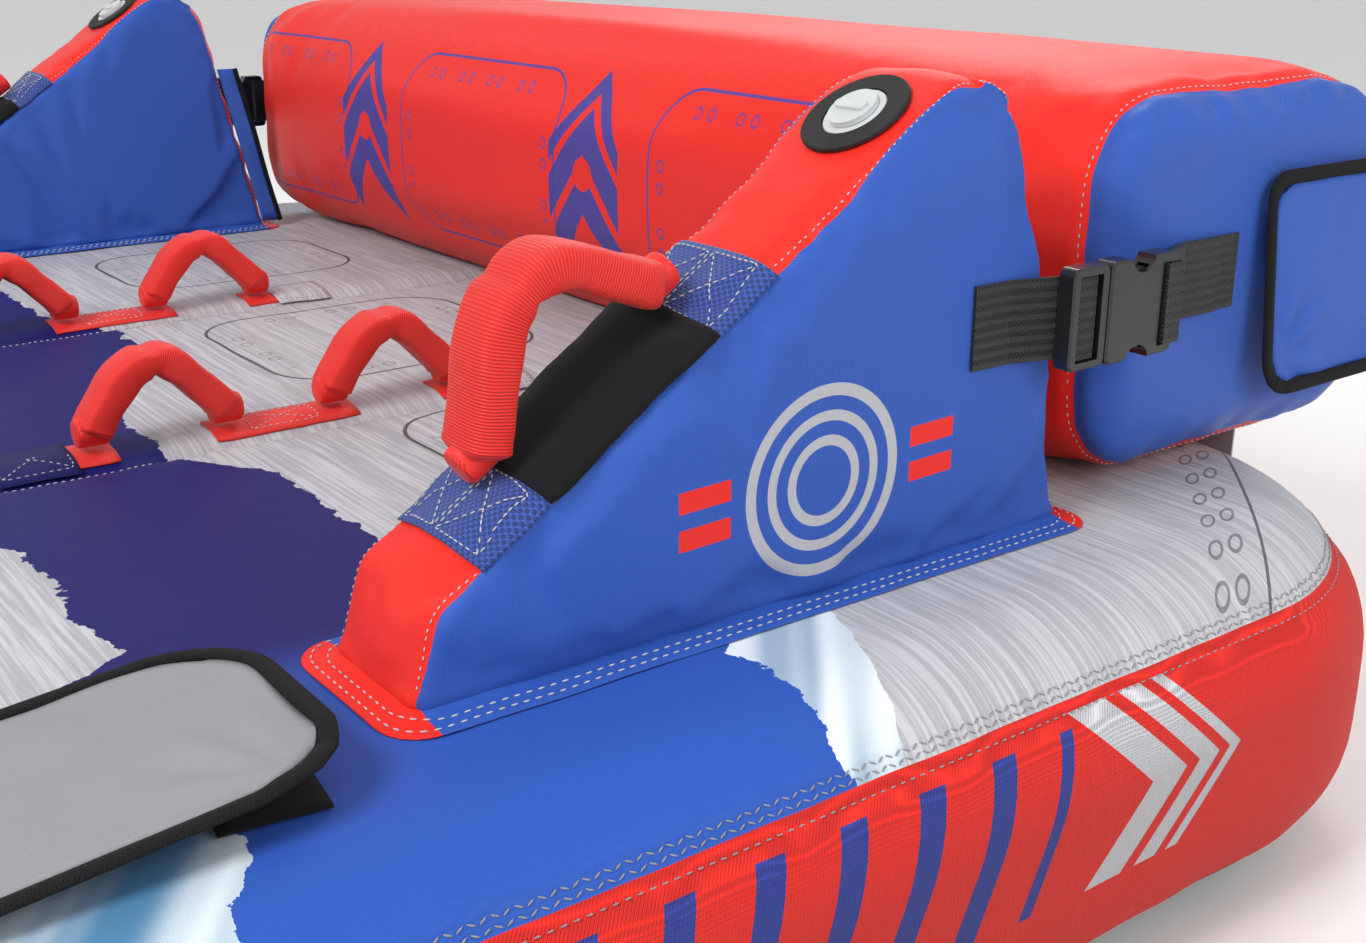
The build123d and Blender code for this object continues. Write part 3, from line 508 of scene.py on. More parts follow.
def sleevePrint(net, colour):
    # blue riveted panels along the backrest's front, with stacked chevrons between them
    x, y, z = net.place()[1:]
    front = net.math("LESS_THAN", y, 0.60)
    painted = colour
    for centreX, half in ((-0.53, 0.140), (-0.103, 0.153), (0.352, 0.153)):
        made = useGroup(net, rivetedPanel, Across=shifted(net, x, centreX), Along=shifted(net, z, 0.378),
                        Half_Width=half, Half_Length=0.092, Corner=0.045, Line=0.0013, Rivet=0.0056)
        painted = net.mix(net.chain("MULTIPLY", made["Outline"], front, 0.9), painted, inkBlue)
        painted = net.mix(net.chain("MULTIPLY", made["Rivets"], front, 0.75), painted, inkBlue)
    for centreX in (-0.345, 0.098):
        low = shifted(net, z, 0.385)
        fold = net.math("MULTIPLY", net.math("ABSOLUTE", shifted(net, x, centreX)), 1.15)
        rise = net.math("ADD", low, fold)
        wide = net.math("LESS_THAN", net.math("ABSOLUTE", shifted(net, x, centreX)), 0.056)
        for height, width in ((0.080, 0.020), (0.038, 0.040), (-0.016, 0.040)):
            band = net.math("LESS_THAN", net.math("ABSOLUTE", shifted(net, rise, height)), width / 2)
            painted = net.mix(net.chain("MULTIPLY", band, wide, front, 0.95), painted, inkBlue)
        runX = shifted(net, x, centreX)
        away = net.math("SQRT", net.math("ADD", net.math("MULTIPLY", runX, runX),
                                         net.math("MULTIPLY", low, low)))
        painted = net.mix(net.math("MULTIPLY", net.math("LESS_THAN", away, 0.015), front), painted,
                          colour)
    return painted


def cushionSidePrint(net, colour):
    # plain concentric rings between two pairs of red bars
    x, y, z = net.place()[1:]
    runY = shifted(net, y, 0.257)
    runZ = net.math("SUBTRACT", shifted(net, z, 0.311), net.math("MULTIPLY", runY, 0.03))
    away = net.math("SQRT", net.math("ADD", net.math("MULTIPLY", runY, runY),
                                     net.math("MULTIPLY", runZ, runZ)))
    outside = net.math("GREATER_THAN", net.math("ABSOLUTE", x), 0.660)
    grey = (0.45, 0.45, 0.48, 1)
    painted = colour
    farY = net.math("ABSOLUTE", runY)
    farZ = net.math("ABSOLUTE", runZ)
    bar = net.math("LESS_THAN", net.math("ABSOLUTE", shifted(net, farZ, 0.0105)), 0.0060)
    bar = net.chain("MULTIPLY", bar,
                    net.math("LESS_THAN", net.math("ABSOLUTE", shifted(net, farY, 0.082)), 0.017),
                    outside)
    painted = net.mix(bar, painted, red)
    for radius, paint in ((0.055, grey), (0.048, colour), (0.040, grey), (0.034, colour), (0.026, grey),
                          (0.020, colour)):
        disc = net.math("MULTIPLY", net.math("LESS_THAN", away, radius), outside)
        painted = net.mix(disc, painted, paint)
    return painted


def flangePrint(net, colour):
    # the base flange is red round the toe and behind the heel
    y, z = net.place()[2:]
    ends = net.math("GREATER_THAN", net.math("ABSOLUTE", shifted(net, y, 0.236)), 0.226)
    return net.mix(ends, colour, red)


def zipperPrint(net, colour):
    # teeth along the middle of the tape, and a stitched line to each side
    x, y, z = net.place()[1:]
    low, high = (Vector(c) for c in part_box("zipper_tape"))
    off = net.math("ABSOLUTE", shifted(net, z, (low.z + high.z) / 2))
    tooth = net.math("LESS_THAN", net.math("FRACT", net.math("DIVIDE", x, 0.003)), 0.6)
    tooth = net.math("MULTIPLY", tooth, net.math("LESS_THAN", off, 0.0036))
    thread = net.math("LESS_THAN", net.math("ABSOLUTE", shifted(net, off, 0.0135)), 0.0006)
    thread = net.math("MULTIPLY", thread,
                      net.math("LESS_THAN", net.math("FRACT", net.math("DIVIDE", x, 0.005)), 0.62))
    painted = net.mix(tooth, colour, (0.13, 0.13, 0.14, 1))
    return net.mix(thread, painted, (0.45, 0.45, 0.47, 1))


materials = {
    "redNylon": nylon("redNylon", red, rough=0.38),
    "sleeveNylon": nylon("sleeveNylon", red, sleevePrint, creases=0.9, rough=0.36),
    "sideNylon": nylon("sideNylon", red, sideBandPrint, threads=2900.0, weave=0.75, creases=0.35,
                       rough=0.55),
    "blueNylon": nylon("blueNylon", royal, creases=0.8, rough=0.36),
    "cushionSideNylon": nylon("cushionSideNylon", royal, cushionSidePrint, creases=0.55, rough=0.38),
    "flangeNylon": nylon("flangeNylon", royal, flangePrint, creases=0.8, rough=0.40),
    "deckNylon": nylon("deckNylon", greyPrint, deckPrint, weave=0.06, creases=0.55, rough=0.42,
                       specular=0.10),
    "bottomNylon": nylon("bottomNylon", (0.014, 0.014, 0.016, 1), threads=2600.0, weave=0.9, rough=0.7),
    "greyCloth": nylon("greyCloth", flapGrey, creases=0.5, rough=0.5),
    "webCloth": nylon("webCloth", (0.40, 0.40, 0.43, 1), creases=0.9, rough=0.55),
    "binding": nylon("binding", (0.006, 0.006, 0.007, 1), threads=3600.0, weave=0.35, creases=0.3,
                     rough=0.8, sheen=0.02),
    "neoprene": nylon("neoprene", (0.007, 0.007, 0.008, 1), threads=7000.0, weave=0.08, creases=0.25,
                      rough=0.9, sheen=0.03),
    "navyCloth": basketCloth("navyCloth", (0.026, 0.060, 0.27, 1)),
    "patchCloth": nylon("patchCloth", deepBlue, threads=3900.0, weave=0.4, creases=0.4, rough=0.5),
    "redWebbing": webbing("redWebbing", red, pitch=0.0017, thread=0.02, depth=0.00045),
    "stripWebbing": webbing("stripWebbing", red, pitch=0.0013, thread=0.02, depth=0.0003),
    "strap": strapping("strap", (0.0075, 0.0075, 0.008, 1)),
    "blackPlastic": plastic("blackPlastic", (0.010, 0.010, 0.011, 1), 0.28, 0.25, coat=0.15),
    "ringRubber": plastic("ringRubber", (0.007, 0.007, 0.008, 1), 0.7, 0.6),
    "clearValve": plastic("clearValve", (0.55, 0.57, 0.58, 1), 0.14, 0.3, coat=0.8),
    "zipperTape": nylon("zipperTape", (0.010, 0.010, 0.011, 1), zipperPrint, threads=3600.0, weave=0.3,
                        creases=0.2, rough=0.6),
    "zipperPlastic": plastic("zipperPlastic", (0.016, 0.016, 0.018, 1), 0.4, 0.3),
    "bladderVinyl": plastic("bladderVinyl", (0.55, 0.57, 0.60, 1), 0.35, 0.3),
    "whiteThread": threadMaterial("whiteThread", threadWhite),
    "greyThread": threadMaterial("greyThread", (0.40, 0.40, 0.43, 1)),
    "blackThread": threadMaterial("blackThread", (0.03, 0.03, 0.035, 1)),
}
steelMaterial = plastic("steel", (0.55, 0.55, 0.54, 1), 0.25, 0.3)
steelMaterial.node_tree.nodes["Principled BSDF"].inputs["Metallic"].default_value = 1.0
materials["steel"] = steelMaterial
print("materials ready")


# helpers for meshes
def toObject(bm, name, material, smooth=True):
    bmesh.ops.recalc_face_normals(bm, faces=bm.faces)
    mesh = bpy.data.meshes.new(name)
    bm.to_mesh(mesh)
    bm.free()
    mesh.polygons.foreach_set("use_smooth", [smooth] * len(mesh.polygons))
    piece = bpy.data.objects.new(name, mesh)
    scene.collection.objects.link(piece)
    mesh.materials.append(materials[material])
    return piece


def settle(piece, body, nodes=()):
    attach(piece, body)
    if nodes:
        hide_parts(*nodes)
    return piece


def applied(piece):
    # bakes live modifiers into the piece's mesh
    graph = bpy.context.evaluated_depsgraph_get()
    mesh = bpy.data.meshes.new_from_object(piece.evaluated_get(graph))
    piece.modifiers.clear()
    piece.data = mesh
    return piece


def surfaceOf(*piecesGiven):
    bm = bmesh.new()
    for piece in piecesGiven:
        bm.from_mesh(piece.data)
    tree = BVHTree.FromBMesh(bm)
    bm.free()
    return tree


def resample(points, pitch):
    # evenly spaced points along a polyline
    result = [points[0].copy()]
    left = pitch
    for start, end in zip(points, points[1:]):
        length = (end - start).length
        done = 0.0
        while length - done >= left:
            done += left
            result.append(start.lerp(end, done / length))
            left = pitch
        left -= length - done
    return result


def smoothPath(points, count):
    # Catmull-Rom curve through the points
    ends = [points[0] * 2 - points[1]] + list(points) + [points[-1] * 2 - points[-2]]
    spans = len(points) - 1
    result = []
    for index in range(count + 1):
        at = min(index / count * spans, spans - 1e-6)
        span = int(at)
        t = at - span
        a, b, c, d = ends[span:span + 4]
        result.append(0.5 * (2 * b + (c - a) * t + (2 * a - 5 * b + 4 * c - d) * t * t
                             + (3 * b - a - 3 * c + d) * t ** 3))
    return result


def sweepTube(name, path, side, sizes, material, segments=20, squareness=0.6, roots=()):
    # a flattened tube: at each path point, sizes gives its half width along side and half thickness
    bm = bmesh.new()
    uvLayer = bm.loops.layers.uv.new("along")
    ring = bmesh.ops.create_circle(bm, segments=segments, radius=1.0)["verts"]
    angles = {v: math.atan2(v.co.y, v.co.x) for v in ring}
    run = {}
    at = 0.0
    current = list(ring)
    for index, centre in enumerate(path):
        before = path[max(index - 1, 0)]
        after = path[min(index + 1, len(path) - 1)]
        tangent = (after - before).normalized()
        up = side.cross(tangent).normalized()
        if index:
            at += (centre - path[index - 1]).length
            loop = [e for e in {e for v in current for e in v.link_edges} if e.verts[0] in current
                    and e.verts[1] in current]
            made = bmesh.ops.extrude_edge_only(bm, edges=loop)["geom"]
            fresh = [v for v in made if isinstance(v, bmesh.types.BMVert)]
            known = set(current)
            for v in fresh:
                angles[v] = angles[next(e.other_vert(v) for e in v.link_edges
                                        if e.other_vert(v) in known)]
            current = fresh
        halfWidth, halfThick = sizes(index / (len(path) - 1))
        for v in current:
            c, s = math.cos(angles[v]), math.sin(angles[v])
            v.co = centre + side * (halfWidth * math.copysign(abs(c) ** squareness, c)) \
                + up * (halfThick * math.copysign(abs(s) ** squareness, s))
            run[v] = at
    for face in bm.faces:
        low = min(angles[v] for v in face.verts)
        for corner in face.loops:
            angle = angles[corner.vert]
            if angle - low > math.pi:
                angle -= 2 * math.pi
            corner[uvLayer].uv = (run[corner.vert], math.cos(angle) * sizes(0.5)[0])
    bmesh.ops.holes_fill(bm, edges=bm.edges, sides=segments)
    for centre, axis, radius in roots:
        # a rolled, sewn foot on the hinge line
        turn = axis.to_track_quat("Z", "Y").to_matrix().to_4x4()
        roll = bmesh.ops.create_cone(bm, cap_ends=True, segments=24, radius1=radius, radius2=radius,
                                     depth=0.024,
                                     matrix=Matrix.Translation(centre) @ turn)["verts"]
        caps = [f for f in {f for v in roll for f in v.link_faces} if len(f.verts) > 4]
        rims = [e for e in {e for f in caps for e in f.edges}]
        rolled = bmesh.ops.bevel(bm, geom=rims, offset=0.003, affect="EDGES", segments=3, profile=0.5,
                                 material=-1)
        for face in {f for v in roll if v.is_valid for f in v.link_faces} | set(rolled["faces"]):
            for corner in face.loops:
                away = corner.vert.co - centre
                corner[uvLayer].uv = (away.dot(side), away.dot(axis))
    return toObject(bm, name, material)


def stitches(name, lines, material, target=None, dash=0.0034, gap=0.0022, width=0.0011, lift=0.0004,
             up=Vector((0, 0, 1)), zigzag=0.0):
    # thread dashes along lines of points, lying on the target surface where one is given
    bm = bmesh.new()
    for points in lines:
        path = resample(points, dash + gap)
        for index, (start, end) in enumerate(zip(path, path[1:])):
            middle = (start + end) / 2
            normal = up
            if target:
                hit, found, _, _ = target.find_nearest(middle)
                if hit is not None:
                    middle, normal = hit + found * lift, found
            along = (end - start)
            along = along - normal * along.dot(normal)
            if along.length < 1e-6:
                continue
            along.normalize()
            across = normal.cross(along)
            if zigzag:
                turn = zigzag if index % 2 else -zigzag
                along = (along * math.cos(turn) + across * math.sin(turn)).normalized()
                across = normal.cross(along)
            place = Matrix.Translation(middle) @ Matrix((
                (along.x * dash / 2, across.x * width / 2, normal.x * width / 2, 0),
                (along.y * dash / 2, across.y * width / 2, normal.y * width / 2, 0),
                (along.z * dash / 2, across.z * width / 2, normal.z * width / 2, 0),
                (0, 0, 0, 1)))
            bmesh.ops.create_icosphere(bm, subdivisions=1, radius=1.0, matrix=place)
    return toObject(bm, name, material)


def mirrorAcross(piece, name):
    # the same piece on the other side of the tube
    bm = bmesh.new()
    bm.from_mesh(piece.data)
    bmesh.ops.scale(bm, vec=(-1, 1, 1), verts=bm.verts)
    bmesh.ops.reverse_faces(bm, faces=bm.faces)
    mesh = bpy.data.meshes.new(name)
    bm.to_mesh(mesh)
    bm.free()
    mesh.polygons.foreach_set("use_smooth", [True] * len(mesh.polygons))
    twin = bpy.data.objects.new(name, mesh)
    scene.collection.objects.link(twin)
    for material in piece.data.materials:
        mesh.materials.append(material)
    return twin


def remeshed(piece, voxel):
    modifier = piece.modifiers.new("voxels", "REMESH")
    modifier.mode = "VOXEL"
    modifier.voxel_size = voxel
    return applied(piece)


def inflate(piece, voxel, pinned, pressure=4.0, cap=0.010, slack=0.03, frames=20):
    # remeshes the piece and blows it up as cloth; pinned(co) is 1 where a seam holds it
    remeshed(piece, voxel)
    mesh = piece.data
    rest = [v.co.copy() for v in mesh.vertices]
    pins = piece.vertex_groups.new(name="pins")
    for index, co in enumerate(rest):
        weight = pinned(co)
        if weight > 0:
            pins.add([index], weight, "REPLACE")
    sim = piece.modifiers.new("air", "CLOTH")
    sim.settings.quality = 4
    sim.settings.mass = 0.3
    sim.settings.tension_stiffness = 15
    sim.settings.compression_stiffness = 15
    sim.settings.shear_stiffness = 5
    sim.settings.bending_stiffness = 0.3
    sim.settings.use_pressure = True
    sim.settings.uniform_pressure_force = pressure
    sim.settings.effector_weights.gravity = 0
    sim.settings.vertex_group_mass = "pins"
    sim.settings.shrink_min = -slack
    sim.collision_settings.use_collision = False
    sim.point_cache.frame_start = 1
    sim.point_cache.frame_end = frames
    for step in range(1, frames + 1):
        scene.frame_set(step)
    graph = bpy.context.evaluated_depsgraph_get()
    blown = [v.co.copy() for v in piece.evaluated_get(graph).data.vertices]
    piece.modifiers.remove(sim)
    piece.vertex_groups.clear()
    scene.frame_set(1)
    for vertex, start, end in zip(mesh.vertices, rest, blown):
        move = end - start
        if move.length > cap:
            move *= cap / move.length
        vertex.co = start + move
    return piece


def cutApart(piece, axis, planes, groups):
    # cuts a mesh at planes along an axis and gives one mesh piece per group of slabs
    bm = bmesh.new()
    bm.from_mesh(piece.data)
    for at in planes:
        normal = Vector((0, 0, 0))
        normal[axis] = 1
        point = Vector((0, 0, 0))
        point[axis] = at
        bmesh.ops.bisect_plane(bm, geom=bm.verts[:] + bm.edges[:] + bm.faces[:], plane_co=point,
                               plane_no=normal, dist=1e-6)
    made = []
    for name, material, wanted in groups:
        part = bm.copy()
        away = [f for f in part.faces
                if sum(f.calc_center_median()[axis] > at for at in planes) not in wanted]
        bmesh.ops.delete(part, geom=away, context="FACES")
        mesh = bpy.data.meshes.new(name)
        part.to_mesh(mesh)
        part.free()
        mesh.polygons.foreach_set("use_smooth", [True] * len(mesh.polygons))
        mesh.materials.append(materials[material])
        made.append(bpy.data.objects.new(name, mesh))
        scene.collection.objects.link(made[-1])
    bm.free()
    bpy.data.objects.remove(piece)
    return made


def subdivided(piece, levels=1):
    modifier = piece.modifiers.new("smooth", "SUBSURF")
    modifier.levels = modifier.render_levels = levels
    return applied(piece)


def roundedOutline(corners, radii, steps=8):
    # a polygon's corners, each turned into an arc of its radius
    result = []
    count = len(corners)
    for index, corner in enumerate(corners):
        before = (corners[index - 1] - corner).normalized()
        after = (corners[(index + 1) % count] - corner).normalized()
        half = before.angle(after) / 2
        reach = radii[index] / math.tan(half)
        middle = corner + (before + after).normalized() * (radii[index] / math.sin(half))
        start = corner + before * reach - middle
        turn = (corner + after * reach - middle)
        sweep = math.atan2(start.x * turn.y - start.y * turn.x, start.dot(turn))
        for step in range(steps + 1):
            angle = sweep * step / steps
            c, s = math.cos(angle), math.sin(angle)
            result.append(middle + Vector((start.x * c - start.y * s, start.x * s + start.y * c)))
    return result


# deck
deck = {
    "corner": 0.230,
    "edge": 0.095,
    "voxel": 0.0115,
    "topSeam": 0.205,
    "bottomSeam": 0.032,
    "seatSeams": (-0.2025, 0.2025),
    "seamDepth": 0.0085,
    "seamSpread": 0.013,
    "pucker": 0.0026,
}
deckLow = Vector([min(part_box(n)[0][i] for n in ("deck_side_band", "deck_bottom_panel"))
                  for i in range(3)])
deckHigh = Vector([max(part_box(n)[1][i] for n in ("deck_side_band", "deck_top_panel")) for i in range(3)])
deckTopZ = deckHigh.z


def onDeckShape(co):
    # nearest point of the deck's rounded block, and its outward normal
    edge = deck["edge"]
    core = deck["corner"] - edge
    half = (deckHigh - deckLow) / 2
    centre = (deckHigh + deckLow) / 2
    p = co - centre
    flat = Vector((abs(p.x) - (half.x - deck["corner"]), abs(p.y) - (half.y - deck["corner"])))
    outer = Vector((max(flat.x, 0), max(flat.y, 0)))
    signX, signY = math.copysign(1, p.x), math.copysign(1, p.y)
    # the plan distance inside the core outline, then the round rim around it
    if outer.length > 0:
        radial = outer.normalized()
        plan = outer.length - core
    else:
        radial = Vector((1, 0)) if flat.x > flat.y else Vector((0, 1))
        plan = max(flat.x, flat.y) - core
    rise = abs(p.z) - (half.z - edge)
    signZ = math.copysign(1, p.z)
    inPlan, inRise = max(plan, 0), max(rise, 0)
    if inPlan == 0 and inRise == 0:
        inRise = 1e-9
    length = math.hypot(inPlan, inRise)
    pushPlan = inPlan / length * edge
    pushRise = inRise / length * edge
    moved = p.copy()
    if inPlan > 0:
        moved.x += signX * radial.x * (pushPlan - plan)
        moved.y += signY * radial.y * (pushPlan - plan)
    moved.z = signZ * (half.z - edge + pushRise) if inRise > 0 else p.z
    normal = Vector((signX * radial.x * inPlan, signY * radial.y * inPlan, signZ * inRise)).normalized()
    return moved + centre, normal


def bell(distance, spread):
    return math.exp(-(distance / spread) ** 2)


def makeDeck():
    bm = bmesh.new()
    size = deckHigh - deckLow
    bmesh.ops.create_cube(bm, size=1.0)
    bmesh.ops.scale(bm, vec=size, verts=bm.verts)
    bmesh.ops.translate(bm, vec=(deckLow + deckHigh) / 2, verts=bm.verts)
    upright = [e for e in bm.edges if abs(e.verts[0].co.z - e.verts[1].co.z) > 0.1]
    bmesh.ops.bevel(bm, geom=upright, offset=deck["corner"], affect="EDGES", segments=16, profile=0.5,
                    material=-1)
    rims = [e for e in bm.edges if abs(e.verts[0].co.z - e.verts[1].co.z) < 0.001
            and len(e.link_faces) == 2 and abs(sum(f.normal.z for f in e.link_faces)) > 0.5]
    bmesh.ops.bevel(bm, geom=rims, offset=deck["edge"] * 0.9, affect="EDGES", segments=6, profile=0.5,
                    material=-1)
    block = remeshed(toObject(bm, "deckBlock", "deckNylon"), deck["voxel"])
    for vertex in block.data.vertices:
        co, normal = onDeckShape(vertex.co)
        sink = 0.0
        face = abs(normal.z)
        for seam in deck["seatSeams"]:
            off = abs(co.x - seam)
            held = min(1.0, max(0.0, (0.70 - abs(co.y)) / 0.08))
            sink += held * face * deck["seamDepth"] * bell(off, deck["seamSpread"])
            tuck = 0.5 + 0.5 * noise.noise(Vector((co.x * 8, co.y * 55, 3.1)))
            sink += held * face * deck["pucker"] * tuck * bell(off, 0.045)
        around = co.x * 0.9 + co.y
        for seamZ in (deck["topSeam"], deck["bottomSeam"]):
            near = bell(co.z - seamZ, 0.010) * (1 - face * 0.3)
            sink += 0.0032 * near
            sink += 0.0026 * bell(co.z - seamZ,
                                  0.045) * (0.5 + 0.5 * noise.noise(Vector((around * 26, co.z * 9,
                                      seamZ * 40))))
        swell = noise.noise(Vector((co.x * 3.2, co.y * 3.2, co.z * 5)))
        sink += 0.0012 * (1 + swell) * (1 - 0.6 * (normal.z < -0.9))
        if normal.z < -0.98:
            sink *= 0.25
        vertex.co = co - normal * sink
    planes = (deck["bottomSeam"], deck["topSeam"])
    bottom, band, top = cutApart(block, 2, planes, [
        ("deckBottom", "bottomNylon", {0}), ("deckSide", "sideNylon", {1}),
        ("deckTop", "deckNylon", {2})])
    settle(bottom, "tube", ["deck_bottom_panel"])
    settle(band, "tube", ["deck_side_band"])
    settle(top, "tube", ["deck_top_panel", "deck_bladder"])
    return bottom, band, top


def planOutline(inset, z, steps=14):
    half = (deckHigh - deckLow) / 2 - Vector((inset, inset, 0))
    corners = [Vector((half.x, -half.y)), Vector((half.x, half.y)), Vector((-half.x, half.y)),
               Vector((-half.x, -half.y))]
    ring = roundedOutline(corners, [deck["corner"] - inset] * 4, steps)
    return [Vector((p.x, p.y, z)) for p in ring + ring[:1]]


deckBottom, deckSide, deckTop = makeDeck()
deckSkin = surfaceOf(deckBottom, deckSide, deckTop)
seatLines = [[Vector((x, -0.66, deckTopZ)), Vector((x, 0.66, deckTopZ))] for x in deck["seatSeams"]]
settle(stitches("seatSeamStitches", seatLines, "whiteThread", deckSkin), "tube")
rimInset = 0.024
rims = [planOutline(rimInset, deck["topSeam"] + 0.006), planOutline(rimInset, deck["topSeam"] + 0.013)]
settle(stitches("rimStitches", rims, "greyThread", deckSkin, dash=0.0052, gap=0.0004, zigzag=0.5), "tube")
edgeLine = [planOutline(rimInset, deck["topSeam"] - 0.006)]
settle(stitches("bandStitches", edgeLine, "greyThread", deckSkin, dash=0.0042, gap=0.0024), "tube")
print("deck ready")


# side cushions
cushion = {
    "slope": math.radians(34),
    "heelLean": math.radians(12.4),
    "nose": 0.054,
    "noseLean": 0.016,
    "inset": 0.005,
    "stripHalf": 0.0425,  # half width of the red strip
    "voxel": 0.005,
    "heart": (0.27, 0.33),  # where the seams draw the side panels to, as y and z
    "strapSpot": (0.410, 0.380),
}
cushionLow, cushionHigh = (Vector(c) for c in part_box("left_cushion_side_panels"))
cushionMid = (cushionLow.x + cushionHigh.x) / 2
noseY = cushionLow.y + cushion["noseLean"]
noseZ = deckTopZ + cushion["nose"]
slopeDir = Vector((0, math.cos(cushion["slope"]), math.sin(cushion["slope"])))
slopeUp = Vector((0, -math.sin(cushion["slope"]), math.cos(cushion["slope"])))
ringCentre = sum((Vector(c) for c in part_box("cushion_valve_rings")), Vector()) / 2


def onSlope(distance, height=0.0, across=0.0):
    return Vector((cushionMid + across, noseY, noseZ)) + slopeDir * distance + slopeUp * height


def cushionOutline(inset, steps=8):
    rise = (cushionHigh.y - noseY - cushion["nose"] * math.tan(cushion["heelLean"]))
    rise /= 1 / math.tan(cushion["slope"]) + math.tan(cushion["heelLean"])
    crest = Vector((noseY + rise / math.tan(cushion["slope"]), noseZ + rise))
    corners = [
        Vector((cushionLow.y + inset, deckTopZ)),
        Vector((cushionHigh.y - inset, deckTopZ)),
        crest - Vector((inset * 0.8, inset * 1.5)),
        Vector((noseY + inset * 0.6, noseZ - inset)),
    ]
    return roundedOutline(corners, [0.004, 0.004, 0.046, 0.028], steps)


def window(distance, inner, outer):
    # 1 within inner, easing to 0 at outer
    t = min(1.0, max(0.0, (outer - distance) / (outer - inner)))
    return t * t * (3 - 2 * t)


def evened(piece, times):
    # takes the voxel steps out of a remeshed surface
    bm = bmesh.new()
    bm.from_mesh(piece.data)
    for _ in range(times):
        bmesh.ops.smooth_vert(bm, verts=bm.verts, factor=0.5, use_axis_x=True, use_axis_y=True,
                              use_axis_z=True)
    bm.to_mesh(piece.data)
    bm.free()


def makeCushion():
    bm = bmesh.new()
    inset = cushion["inset"]
    outline = [bm.verts.new((cushionLow.x + inset, p.x, p.y)) for p in cushionOutline(inset)]
    wall = bm.faces.new(outline)
    made = bmesh.ops.extrude_face_region(bm, geom=[wall])["geom"]
    moved = [v for v in made if isinstance(v, bmesh.types.BMVert)]
    bmesh.ops.translate(bm, vec=(cushionHigh.x - cushionLow.x - 2 * inset, 0, 0), verts=moved)
    bmesh.ops.recalc_face_normals(bm, faces=bm.faces)
    rims = [e for e in bm.edges if len(e.link_faces) == 2
            and abs(e.verts[0].co.x - e.verts[1].co.x) < 1e-5
            and max(v.co.z for v in e.verts) > deckTopZ + 0.002]
    bmesh.ops.bevel(bm, geom=rims, offset=0.007, affect="EDGES", segments=3, profile=0.5, material=-1)
    blank = toObject(bm, "cushionBlank", "redNylon")
    half = cushion["stripHalf"]

    def held(co):
        seam = abs(abs(co.x - cushionMid) - half) < 0.0027
        return 1.0 if seam or co.z < deckTopZ + 0.006 else 0.0

    inflate(blank, cushion["voxel"], held, cap=0.0085, slack=0.05)
    evened(blank, 4)
    ringSpot = Vector((cushionMid, ringCentre.y, ringCentre.z))
    strapSpot = Vector((0, *cushion["strapSpot"]))
    heart = Vector((0, *cushion["heart"]))
    limit = (cushionHigh.x - cushionLow.x) / 2 - 0.0004
    for vertex in blank.data.vertices:
        co = vertex.co.copy()
        off = co.x - cushionMid
        seam = bell(abs(off) - half, 0.0042)
        if co.z > deckTopZ + 0.01:
            inward = (heart - Vector((0, co.y, co.z))).normalized()
            deep = 0.5 + 0.5 * noise.noise(Vector((co.y * 62, co.z * 62, 7.7 + math.copysign(3, off))))
            co += inward * (0.0026 * seam + 0.0022 * deep * bell(abs(off) - half, 0.014))
            # tucks run from the seams down the side panels
            reach = bell(distanceToSlope(co), 0.045) + 0.6 * bell(co.z - deckTopZ, 0.03)
            if abs(off) > half:
                co.x -= math.copysign(0.0026 * deep * min(1.0, reach), off)
        height = distanceToSlope(co)
        if height > -0.003:
            co -= slopeUp * (height + 0.003 - 0.0025 * (1 - math.exp(-(height + 0.003) / 0.0025)))
        # flat seats under the valve ring and the strap
        near = window((co - ringSpot).length, 0.036, 0.075)
        if distanceToSlope(co) > -0.03:
            co -= slopeUp * (distanceToSlope(co) + 0.0016) * near
        if off > half * 0.9:
            near = window(max(abs(co.y - strapSpot.y) - 0.045, abs(co.z - strapSpot.z) - 0.026, 0), 0.002,
                          0.05)
            co.x += (cushionMid + limit - co.x) * near
        # the blue panels stay outside the cut planes, and everything inside the sewn width
        heel = cushionHigh.y - (co.z - deckTopZ) * math.tan(cushion["heelLean"])
        panel = distanceToSlope(co) < -0.015 and cushionLow.y + 0.03 < co.y < heel - 0.015
        least = half + 0.0012 if panel else 0.0
        co.x = cushionMid + math.copysign(min(limit, max(least, abs(co.x - cushionMid))), off)
        vertex.co = co
    subdivided(blank)
    return cutApart(blank, 0, (cushionMid - half, cushionMid + half), [
        ("leftCushionStrip", "redNylon", {1}), ("leftCushionPanels", "cushionSideNylon", {0, 2})])


def distanceToSlope(co):
    return (co - onSlope(0)).dot(slopeUp)


leftStrip, leftPanels = makeCushion()
cushionSkin = surfaceOf(leftStrip, leftPanels)
print("cushion blown")


